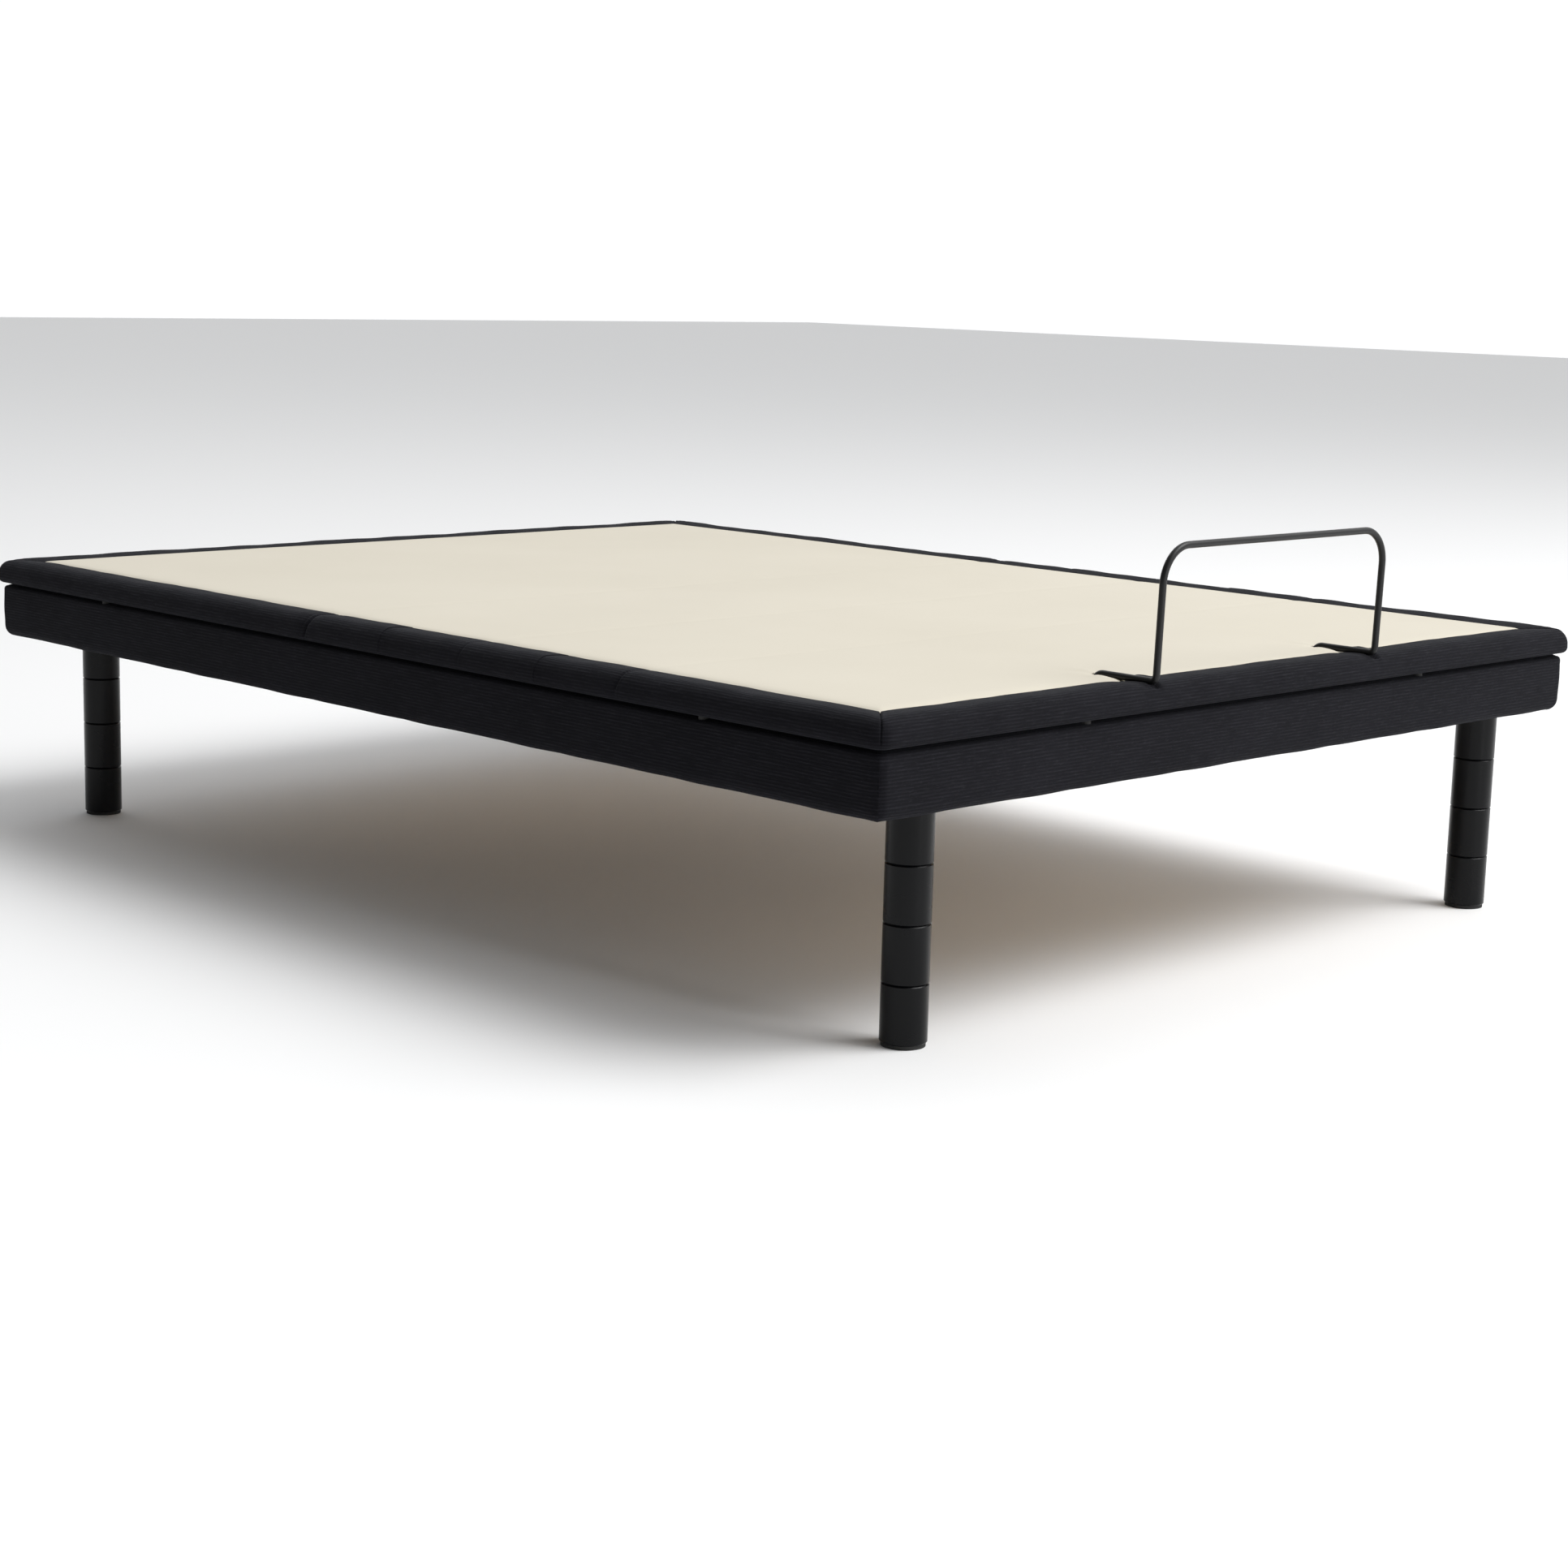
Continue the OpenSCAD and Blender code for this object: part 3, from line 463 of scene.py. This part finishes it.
# Places from low to high, closest together at the marks
def spaced(low, high, marks, spacing):
    spots = [low]
    while spots[-1] < high:
        gap = min([abs(spots[-1] - mark) for mark in marks], default=1.0)
        spots.append(spots[-1] + min(spacing["widest"], spacing["finest"] + spacing["growth"] * gap))
    spots = np.array(spots)
    return low + (spots - low) * (high - low) / (spots[-1] - low)


rollSpacing = {"widest": 0.010, "finest": 0.0010, "growth": 0.3}
fanSteps = np.array([0.2, 0.38, 0.54, 0.67, 0.78, 0.86, 0.92, 0.96, 0.985, 1.0])


# One straight side of a roll, with a fan of stations up to the mitre at each mitred end.
# Returns points[station, ring], how far along the roll each is and how far from the nearest mitre.
def sweepSide(start, end, side, planRadius, marks):
    profile, mitredStart, mitredEnd, offset = side
    start, end = np.array(start), np.array(end)
    length = np.linalg.norm(end - start)
    travel = (end - start) / length
    outward = np.array([-travel[1], travel[0]])
    stations = [(t, 0.0) for t in spaced(0.0, length, marks, rollSpacing)]
    if mitredStart:
        stations = [(0.0, -f) for f in fanSteps[::-1]] + stations
    if mitredEnd:
        stations += [(length, f) for f in fanSteps]
    t, fan = np.array(stations).T
    out, up = profile.T
    along = t[:, None] + fan[:, None] * out[None, :]
    plan = start + along[..., None] * travel + out[None, :, None] * outward
    ends = ((mitredStart, start, -travel), (mitredEnd, end, travel))
    for corner, way in ((corner, way) for mitred, corner, way in ends if mitred):
        plan = roundCorner(plan, corner, way, outward, out.max(), planRadius)
    heights = np.broadcast_to(up, along.shape)
    points = np.concatenate([plan, heights[..., None]], axis=2)
    toMitre = np.full(along.shape, 9.0)  # far away, where there is no mitre
    if mitredStart:
        toMitre = np.minimum(toMitre, along + out)
    if mitredEnd:
        toMitre = np.minimum(toMitre, length - along + out)
    return points, along + offset, np.maximum(toMitre, 0)


# Draws a square corner, seen from above, in to a round one
def roundCorner(plan, corner, way, outward, width, planRadius):
    centre = corner + (width - planRadius) * (way + outward)
    away = plan - centre
    a, b = away @ way, away @ outward
    inside = (a > 0) & (b > 0)
    scale = np.where(inside, np.maximum(a, b) / np.where(inside, np.hypot(a, b), 1), 1)
    return centre + away * scale[..., None]


def gridNormals(points):
    down = np.gradient(points, axis=0)
    around = np.roll(points, -1, axis=1) - np.roll(points, 1, axis=1)
    normals = np.cross(down, around)
    size = np.linalg.norm(normals, axis=2, keepdims=True)
    sound = size > 1e-12
    normals = np.where(sound, normals / np.where(sound, size, 1), 0)
    middle = len(points) // 2
    facing = (normals[middle] * (points[middle] - points[middle].mean(0))).sum()
    return -normals if facing < 0 else normals


# A closed roll along a line of corners; shape(points, normals, along, toMitre) moves its points
def sweptRoll(name, corners, section, planRadius, marks, mitredEnds, shape):
    profile, lengths = section
    sides, offset = [], 0.0
    for k in range(len(corners) - 1):
        mitredStart = k > 0 or mitredEnds
        mitredEnd = k < len(corners) - 2 or mitredEnds
        side = (profile, mitredStart, mitredEnd, offset)
        points, along, toMitre = sweepSide(corners[k], corners[k + 1], side, planRadius, marks[k])
        sides.append([shape(points, gridNormals(points), along, toMitre), along])
        offset += math.dist(corners[k], corners[k + 1]) + 2 * profile[:, 0].max()
    for first, second in zip(sides, sides[1:]):
        shared = (first[0][-1] + second[0][0]) / 2
        first[0][-1] = second[0][0] = shared
    verts, faces, faceUv = [], [], []
    rings = len(profile)
    for points, along in sides:
        base = len(verts)
        verts.extend(points.reshape(-1, 3))
        for i in range(len(points) - 1):
            here, there = base + i * rings, base + (i + 1) * rings
            for j in range(rings):
                k = (j + 1) % rings
                faces.append([here + j, there + j, there + k, here + k])
                faceUv.append([(along[i, j], lengths[j]), (along[i + 1, j], lengths[j]),
                               (along[i + 1, k], lengths[j + 1]), (along[i, k], lengths[j + 1])])
    last = len(verts) - rings
    firstPoints, lastPoints = sides[0][0][0], sides[-1][0][-1]
    faces.append(list(range(rings)))
    faceUv.append([tuple(p[1:]) for p in firstPoints])
    faces.append(list(range(last, last + rings))[::-1])
    faceUv.append([tuple(p[1:]) for p in lastPoints[::-1]])
    piece = newPiece(name, verts, faces, faceUv, looks["ribbedFabric"])
    joinSeams(piece)
    smoothByAngle(piece, 50)
    return piece


def newPiece(name, verts, faces, faceUv, material):
    mesh = bpy.data.meshes.new(name)
    mesh.from_pydata([tuple(v) for v in verts], [], faces)
    layer = mesh.uv_layers.new(name="fabric")
    layer.data.foreach_set("uv", [value for corners in faceUv for uv in corners for value in uv])
    piece = bpy.data.objects.new(name, mesh)
    bpy.context.scene.collection.objects.link(piece)
    mesh.materials.append(material)
    return piece


def joinSeams(piece):
    work = bmesh.new()
    work.from_mesh(piece.data)
    bmesh.ops.remove_doubles(work, verts=work.verts, dist=2e-6)
    bmesh.ops.dissolve_degenerate(work, edges=work.edges, dist=1e-6)
    bmesh.ops.recalc_face_normals(work, faces=work.faces)
    if work.calc_volume(signed=True) < 0:
        bmesh.ops.reverse_faces(work, faces=work.faces)
    work.to_mesh(piece.data)
    work.free()


def pickOnly(piece):
    bpy.ops.object.select_all(action="DESELECT")
    piece.select_set(True)
    bpy.context.view_layer.objects.active = piece


def smoothByAngle(piece, angle):
    pickOnly(piece)
    bpy.ops.object.shade_smooth_by_angle(angle=math.radians(angle))
    piece.select_set(False)


def applyModifier(piece, kind, **settings):
    modifier = piece.modifiers.new(kind.lower(), kind)
    for key, value in settings.items():
        setattr(modifier, key, value)
    pickOnly(piece)
    bpy.ops.object.modifier_apply(modifier=modifier.name)
    piece.select_set(False)


def blendAtFold(piece, first, second, place):
    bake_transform(piece)


# How far the fabric stands out near a seam: drawn in at it, with small pull wrinkles beside it
def besideSeam(distance, seam):
    sink = seam["pillow"] * np.exp(-distance / seam["pillowReach"])
    sink += seam["crease"] * np.exp(-(distance / seam["creaseWidth"]) ** 2)
    wrinkle = np.sin(2 * math.pi * distance / seam["pullPitch"]) * np.exp(-distance / seam["pullReach"])
    return seam["pull"] * wrinkle - sink


# Where the retainer rod lies pressed into the padding

rodMarks = {
    "pressed": 0.0052,
    "halfWidth": 0.0035,
    "softness": 0.0030,
    "ridge": 0.0008,  # small ridges on both sides
    "ridgeAside": 0.011,
    "ridgeWidth": 0.004,
    "dent": 0.0022,  # wide dent on the left
    "dentAside": -0.016,
    "dentWidth": 0.012,
    "lump": 0.0050,  # fabric pushed up on the right
    "lumpAside": 0.022,
    "lumpInset": 0.006,
    "lumpWidth": 0.016,
    "lumpLength": 0.014,
}


def pressedWidth(aside):
    beyond = np.clip(np.abs(aside) - rodMarks["halfWidth"], 0, 1)
    return np.exp(-beyond ** 2 / rodMarks["softness"] ** 2)


def besideDent(aside):
    return rodMarks["dent"] * np.exp(-((aside - rodMarks["dentAside"]) / rodMarks["dentWidth"]) ** 2)


# Padded border: a round roll of ribbed fabric with mitred corners and a seam at each fold

border = {
    "width": deck["halfX"] - deck["boardX"],
    "height": deck["top"] - deck["bottom"],
    "topRadius": 0.024,
    "lowRadius": 0.011,
    "innerRadius": 0.003,
    "planRadius": 0.020,
    "innerDip": 0.0028,  # the roll falls away towards the cover
    "crown": 0.0004,
    "waves": ((0.42, 0.0005), (0.19, 0.0004), (0.083, 0.00025)),
    "edgeWaves": ((0.31, 0.0007), (0.12, 0.0007), (0.047, 0.0004)),
    "edgeShift": 0.0004,
    "edgeReach": 0.007,
    "splitLean": 0.004,
    "leanHeight": 0.030,
    "fill": 0.7,
}
borderMitre = {
    "crease": 0.0018, "creaseWidth": 0.0016, "pillow": 0.0022, "pillowReach": 0.010,
    "pull": 0.00045, "pullPitch": 0.012, "pullReach": 0.022,
}


def foldSeam(crease, pillow):
    return {
        "crease": crease, "creaseWidth": 0.0017, "pillow": pillow, "pillowReach": 0.010,
        "pull": 0.15 * crease, "pullPitch": 0.011, "pullReach": 0.020,
    }


folds = (  # the border is parted at the head hinge and only creased at the others
    (deck["headHinge"], foldSeam(0.0042, 0.0024)),
    (deck["thighHinge"], foldSeam(0.0006, 0.0004)),
    (deck["kneeHinge"], foldSeam(0.0016, 0.0012)),
)


def borderSection():
    w, h = border["width"], border["height"]
    top, low, inner = border["topRadius"], border["lowRadius"], border["innerRadius"]
    ridge = h + border["crown"]
    edge = h - border["innerDip"]
    crownLine = [(u, ridge - (ridge - edge) * (1 - u / (w - top)) ** 2)
                 for u in np.linspace(w - top, inner, 9)]
    points, lengths = closedProfile((
        line((0, 0), (w - low, 0), 5),
        arc((w - low, low), low, -90, 0, 6),
        arc((w - top, ridge - top), top, 0, 90, 11),
        crownLine,
        arc((inner, edge - inner), inner, 90, 180, 3),
        line((0, edge - inner), (0, 0), 4),
    ))
    points[:, 1] += deck["bottom"]
    return points, lengths


def shapeBorder(points, normals, along, toMitre):
    x, y, z = points[..., 0], points[..., 1], points[..., 2]
    out = np.maximum(np.abs(x) - deck["boardX"], np.abs(y) - deck["boardY"])
    rise = z - deck["bottom"]
    free = np.clip((rise - 0.003) / 0.010, 0, 1) * np.clip(out / 0.006, 0, 1)  # still where glued down
    push = ripple(along, 3, border["waves"]) * (0.4 + 0.6 * np.clip(rise / border["height"], 0, 1))
    push += besideSeam(toMitre, borderMitre)
    onSide = np.abs(x) > deck["boardX"] - 0.001
    lean = border["splitLean"] * (1 - 2 * np.clip(rise / border["leanHeight"], 0, 1))
    for place, seam in folds:
        push += onSide * besideSeam(np.abs(y - place - lean), seam)
    moved = points + normals * (push * free)[..., None]

    lip = np.exp(-np.clip(out, 0, 1) / border["edgeReach"]) * np.clip((rise - 0.026) / 0.006, 0, 1)
    shift = (ripple(along, 8, border["edgeWaves"]) + border["edgeShift"]) * lip
    endSide = np.abs(y) - deck["boardY"] > np.abs(x) - deck["boardX"]
    moved[..., 0] -= np.where(endSide, 0, np.sign(x)) * shift
    moved[..., 1] -= np.where(endSide, np.sign(y), 0) * shift

    footTop = (y < -deck["boardY"] + 0.001) * np.clip((rise - 0.018) / 0.010, 0, 1)
    underRod = footTop * np.clip((y - rodOuterY - 0.005) / 0.004, 0, 1)
    for post in (-postX, postX):
        aside = x - post
        lump = np.hypot((aside - rodMarks["lumpAside"]) / rodMarks["lumpWidth"],
                        (y + deck["boardY"] + rodMarks["lumpInset"]) / rodMarks["lumpLength"])
        ridge = (np.abs(aside) - rodMarks["ridgeAside"]) / rodMarks["ridgeWidth"]
        moved[..., 2] += rodMarks["lump"] * np.exp(-lump ** 2) * footTop
        moved[..., 2] -= (rodMarks["pressed"] * pressedWidth(aside) + besideDent(aside)) * underRod
        moved[..., 2] += rodMarks["ridge"] * np.exp(-ridge ** 2) * footTop
    return moved


def hingeMarks(start, end):
    low, high = sorted((start, end))
    return [abs(place - start) for place, _ in folds if low - 0.05 < place < high + 0.05]


def buildBorder():
    section = borderSection()
    bx, by = deck["boardX"], deck["boardY"]
    midSeat, midThigh = deck["midSeat"], deck["midThigh"]
    postMarks = [bx - postX, bx + postX]
    headFold = ("head_section", "base", deck["headHinge"])
    thighFold = ("base", "thigh_section", deck["thighHinge"])
    kneeFold = ("thigh_section", "foot_section", deck["kneeHinge"])
    runs = (
        ("head_border_roll", [(-bx, midSeat), (-bx, by), (bx, by), (bx, midSeat)],
         [hingeMarks(midSeat, by), [], hingeMarks(by, midSeat)],
         headFold, ("head_border", "seat_border")),
        ("left_border_roll", [(-bx, midThigh), (-bx, midSeat)],
         [hingeMarks(midThigh, midSeat)], thighFold, ("seat_border",)),
        ("right_border_roll", [(bx, midSeat), (bx, midThigh)],
         [hingeMarks(midSeat, midThigh)], thighFold, ("seat_border",)),
        ("foot_border_roll", [(bx, midThigh), (bx, -by), (-bx, -by), (-bx, midThigh)],
         [hingeMarks(midThigh, -by), postMarks, hingeMarks(-by, midThigh)],
         kneeFold, ("thigh_border", "foot_border")),
    )
    for name, corners, marks, fold, stoodFor in runs:
        piece = sweptRoll(name, corners, section, border["planRadius"], marks, False, shapeBorder)
        blendAtFold(piece, *fold)
        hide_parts(*stoodFor)
    print("border ready")


buildBorder()


# Base panel: ribbed fabric wrapped round the wooden rails, mitred at the corners

panel = {
    "thickness": 0.0027,
    "lowRadius": 0.018,
    "topRadius": 0.006,
    "planRadius": 0.015,
    "bulge": 0.0010,
    "crown": 0.0032,  # the wrap stands up a little inside the gap under the border
    "crownInset": 0.006,
    "waves": ((0.55, 0.0005), (0.23, 0.0004), (0.09, 0.0002)),
    "waveShare": 0.5,
    "hemWaves": ((0.37, 0.0007), (0.16, 0.0005)),
    "fill": 0.3,
}
panelMitre = {
    "crease": 0.0014, "creaseWidth": 0.0016, "pillow": 0.0010, "pillowReach": 0.008,
    "pull": 0.0003, "pullPitch": 0.010, "pullReach": 0.020,
}


def panelSection(width, height, bottom):
    low, top, skin = panel["lowRadius"], panel["topRadius"], panel["thickness"]
    ridge = (panel["crownInset"], height + panel["crown"])
    side = [(width + panel["bulge"] * math.sin(math.pi * f) ** 2, low + f * (height - low - top))
            for f in np.linspace(0, 1, 11)]
    points, lengths = closedProfile((
        line((0, 0), (width - low, 0), 2),
        arc((width - low, low), low, -90, 0, 8),
        side,
        arc((width - top, height - top), top, 0, 90, 4),
        line((width - top, height), ridge, 3),
        line(ridge, (0, height), 2),
        line((0, height), (0, height - skin), 1),
        line((0, height - skin), (width - top, height - skin), 2),
        arc((width - top, height - top), top - skin, 90, 0, 2),
        line((width - skin, height - top), (width - skin, low), 3),
        arc((width - low, low), low - skin, 0, -90, 5),
        line((width - low, skin), (0, skin), 1),
    ))
    points[:, 1] += bottom
    return points, lengths


def buildPanels():
    low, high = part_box("foot_skirt")
    inX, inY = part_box("foot_rail")[1].x, -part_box("foot_rail")[1].y
    outX = -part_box("left_skirt")[0].x
    section = panelSection(outX - inX, high.z - low.z, low.z)

    def shapePanel(points, normals, along, toMitre):
        x, y, z = points[..., 0], points[..., 1], points[..., 2]
        out = np.maximum(np.abs(x) - inX, np.abs(y) - inY)
        outer = np.clip((out - 0.0175) / 0.0015, 0, 1)
        rise = (z - low.z) / (high.z - low.z)
        push = ripple(along + 0.02 * rise, 21, panel["waves"]) * panel["waveShare"]
        push += besideSeam(toMitre, panelMitre)
        moved = points + normals * (push * outer)[..., None]
        hem = ripple(along, 34, panel["hemWaves"]) * np.clip(1 - 3 * rise, 0, 1)
        moved[..., 2] -= np.abs(hem) * np.clip(out / 0.010, 0, 1)
        return moved

    sides = (
        ("left_panel", (-inX, -inY), (-inX, inY), "left_skirt"),
        ("head_panel", (-inX, inY), (inX, inY), "head_skirt"),
        ("right_panel", (inX, inY), (inX, -inY), "right_skirt"),
        ("foot_panel", (inX, -inY), (-inX, -inY), "foot_skirt"),
    )
    for name, start, end, node in sides:
        piece = sweptRoll(name, [start, end], section, panel["planRadius"], [[]], True, shapePanel)
        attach(piece, "base")
        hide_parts(node)
    print("base panel ready")


buildPanels()


# Cover and foam: sheets over the boards, each crossing one fold

cover = {
    "tuck": 0.0050,  # how far the cover runs in under the border
    "tuckDrop": 0.0014,
    "tuckSlope": 0.003,
    "thickness": 0.0016,
    "edgeDip": 0.0026,
    "edgeReach": 0.0070,
    "foldDip": 0.0006,
    "foldReach": 0.010,
    "waves": ((0.61, 0.00035), (0.27, 0.0002)),
    "waveFade": 0.020,
    "dimple": 0.0026,  # where the rod dives into the deck
    "dimpleReach": 0.013,
    "creases": 5,
    "creaseHeight": 0.0005,
    "creaseFar": 0.030,
    "creaseReach": 0.028,
    "dentFade": 0.010,
    "slot": (0.0058, 0.0088),
    "spacing": {"widest": 0.016, "finest": 0.0022, "growth": 0.2},
}
foam = {
    "inset": 0.001,
    "gap": 0.0004,
    "lift": 0.0002,
    "edgeRadius": 0.006,
    "edgeShare": 0.7,
    "channel": 0.0046,  # room for the hinge leaves
    "channelReach": 0.048,
    "slot": (0.0062, 0.0110),
    "spacingX": {"widest": 0.025, "finest": 0.002, "growth": 0.2},
    "spacingY": {"widest": 0.020, "finest": 0.002, "growth": 0.2},
    "fill": 0.8,
}
slotY = rodHoleY - 0.0055  # middle of the slots where the rod dives
sections = (
    ("head", deck["midSeat"], deck["boardY"],
     ("head_section", "base", deck["headHinge"]), ("head", "seat")),
    ("seat", deck["midThigh"], deck["midSeat"],
     ("base", "thigh_section", deck["thighHinge"]), ("seat",)),
    ("foot", -deck["boardY"], deck["midThigh"],
     ("thigh_section", "foot_section", deck["kneeHinge"]), ("thigh", "foot")),
)


def coverHeight(x, y):
    fromEdge = np.minimum(deck["boardX"] - np.abs(x), deck["boardY"] - np.abs(y))
    height = deck["top"] - cover["edgeDip"] * np.exp(-np.clip(fromEdge, 0, 1) / cover["edgeReach"])
    height -= cover["tuckDrop"] * np.clip(-fromEdge / cover["tuckSlope"], 0, 1)
    waves = ripple(x * 0.8 + y * 0.6, 5, cover["waves"]) + ripple(y - 0.3 * x, 6, cover["waves"])
    height += waves * np.clip(fromEdge / cover["waveFade"], 0, 1)
    for place, _ in folds:
        height -= cover["foldDip"] * np.exp(-((y - place) / cover["foldReach"]) ** 2)
    for post in (-postX, postX):
        dx, dy = x - post, y - slotY
        far = np.hypot(dx, dy)
        height -= cover["dimple"] * np.exp(-(far / cover["dimpleReach"]) ** 2)
        height -= rodMarks["pressed"] * 0.9 * pressedWidth(dx) * (y < rodHoleY - 0.004)
        height -= besideDent(dx) * np.exp(-np.clip(y + deck["boardY"], 0, 9) / cover["dentFade"])
        pull = np.exp(-((far - cover["creaseFar"]) / cover["creaseReach"]) ** 2)
        height += cover["creaseHeight"] * pull * np.sin(cover["creases"] * np.arctan2(dy, dx) + 0.8)
    return height


def gridSheet(name, xs, ys, height, material):
    columns = len(xs)
    verts = [(x, y, height[i, j]) for i, y in enumerate(ys) for j, x in enumerate(xs)]
    faces = [[i * columns + j, i * columns + j + 1, (i + 1) * columns + j + 1, (i + 1) * columns + j]
             for i in range(len(ys) - 1) for j in range(columns - 1)]
    faceUv = [[verts[corner][:2] for corner in face] for face in faces]
    return newPiece(name, verts, faces, faceUv, material)


# Cuts an upright slot through a piece where each end of the retainer dives into the deck
def cutRodSlots(piece, slot):
    halfWidth, halfLength = slot
    for post in (-postX, postX):
        bpy.ops.object.select_all(action="DESELECT")
        bpy.ops.mesh.primitive_cylinder_add(vertices=40, radius=1, depth=1)
        cutter = bpy.context.object
        cutter.data.transform(Matrix.Diagonal((halfWidth, halfLength, 0.1, 1)))
        cutter.data.transform(Matrix.Translation((post, slotY, deck["foamTop"])))
        applyModifier(piece, "BOOLEAN", object=cutter, operation="DIFFERENCE", solver="EXACT")
        bpy.data.objects.remove(cutter)


def buildCovers():
    reachX = deck["boardX"] + cover["tuck"]
    nearEdge = deck["boardX"] - 0.004
    for name, low, high, fold, stoodFor in sections:
        marksX, marksY = [-nearEdge, nearEdge], [fold[2]]
        if name == "head":
            high += cover["tuck"]
            marksY += [deck["boardY"]]
        if name == "foot":
            low -= cover["tuck"]
            marksX += [-postX, postX]
            marksY += [-deck["boardY"], slotY]
        xs = spaced(-reachX, reachX, marksX, cover["spacing"])
        ys = spaced(low, high, marksY, cover["spacing"])
        height = coverHeight(*np.meshgrid(xs, ys))
        piece = gridSheet(name + "_cover_sheet", xs, ys, height, looks["stretchKnit"])
        applyModifier(piece, "SOLIDIFY", thickness=cover["thickness"], offset=-1.0)
        if name == "foot":
            cutRodSlots(piece, cover["slot"])
        smoothByAngle(piece, 60)
        blendAtFold(piece, *fold)
        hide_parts(*(part + "_cover" for part in stoodFor))
    print("cover ready")


def foamRound(fromEdge):
    r = foam["edgeRadius"]
    inside = np.clip(r - fromEdge, 0, r)
    return r - np.sqrt(r * r - inside * inside)


def buildFoams():
    bx, by = deck["boardX"] - foam["inset"], deck["boardY"] - foam["inset"]
    for name, low, high, fold, stoodFor in sections:
        low, high = max(low, -by), min(high, by)
        xs = spaced(-bx, bx, [-bx, bx], foam["spacingX"])
        ys = spaced(low, high, [fold[2], low, high], foam["spacingY"])
        gridX, gridY = np.meshgrid(xs, ys)
        fromEdge = np.minimum(bx - np.abs(gridX), by - np.abs(gridY))
        topSide = coverHeight(gridX, gridY) - cover["thickness"] - foam["gap"]
        topSide -= foamRound(fromEdge) * foam["edgeShare"]
        bottom = np.full_like(gridX, deck["boardTop"] + foam["lift"])
        bottom += foam["channel"] * (np.abs(gridY - fold[2]) < foam["channelReach"])
        piece = gridSheet(name + "_foam_pad", xs, ys, topSide, looks["foamCream"])
        closeSlab(piece, xs, ys, bottom)
        if name == "foot":
            cutRodSlots(piece, foam["slot"])
        smoothByAngle(piece, 40)
        blendAtFold(piece, *fold)
        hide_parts(*(part + "_foam" for part in stoodFor))
    print("foam ready")


# Gives a sheet a lower face at the given heights, and walls down to it
def closeSlab(piece, xs, ys, bottom):
    work = bmesh.new()
    work.from_mesh(piece.data)
    work.verts.ensure_lookup_table()
    columns, rows = len(xs), len(ys)
    under = [work.verts.new((x, y, bottom[i, j])) for i, y in enumerate(ys) for j, x in enumerate(xs)]
    top = list(work.verts[:rows * columns])
    for i in range(rows - 1):
        for j in range(columns - 1):
            a = i * columns + j
            work.faces.new([under[a], under[a + columns], under[a + columns + 1], under[a + 1]])
    rim = list(range(columns)) + [i * columns + columns - 1 for i in range(1, rows)]
    rim += [(rows - 1) * columns + j for j in range(columns - 2, -1, -1)]
    rim += [i * columns for i in range(rows - 2, 0, -1)]
    for a, b in zip(rim, rim[1:] + rim[:1]):
        work.faces.new([top[b], top[a], under[a], under[b]])
    bmesh.ops.recalc_face_normals(work, faces=work.faces)
    work.to_mesh(piece.data)
    work.free()


buildFoams()
buildCovers()


# Finishes of the pieces that come straight from the frame

finishes = {
    "legBlack": ["foot_left_leg", "foot_right_leg", "head_left_leg", "head_right_leg"],
    "frameBlack": [
        "leg_plates", "left_side_tube", "right_side_tube", "foot_cross_tube", "head_cross_tube",
        "head_motor_crossbar", "thigh_motor_crossbar", "motor_brackets", "link_frame_brackets",
        "head_stiffeners", "head_lever", "thigh_stiffeners", "thigh_lever", "foot_stiffeners",
        "foot_link_brackets", "left_link", "right_link",
    ],
    "retainerBlack": ["retainer_bar"],
    "zinc": ["seat_hinges", "head_hinge_leaves", "thigh_hinges", "foot_hinge_leaves", "retainer_nuts"],
    "rodSteel": ["head_motor_rod", "thigh_motor_rod"],
    "woodAlongY": ["left_rail", "right_rail", "seat_risers"],
    "woodAlongX": ["head_rail", "foot_rail"],
    "boardPly": ["head_board", "seat_board", "thigh_board", "foot_board"],
    "motorPlastic": ["head_motor", "thigh_motor", "control_box", "power_supply"],
    "rubber": ["leg_glides", "deck_pads"],
}


def paintFrame():
    for look, names in finishes.items():
        for name in names:
            for materialSlot in nodes[name].material_slots:
                materialSlot.material = looks[look]
    print("frame finishes ready")


paintFrame()
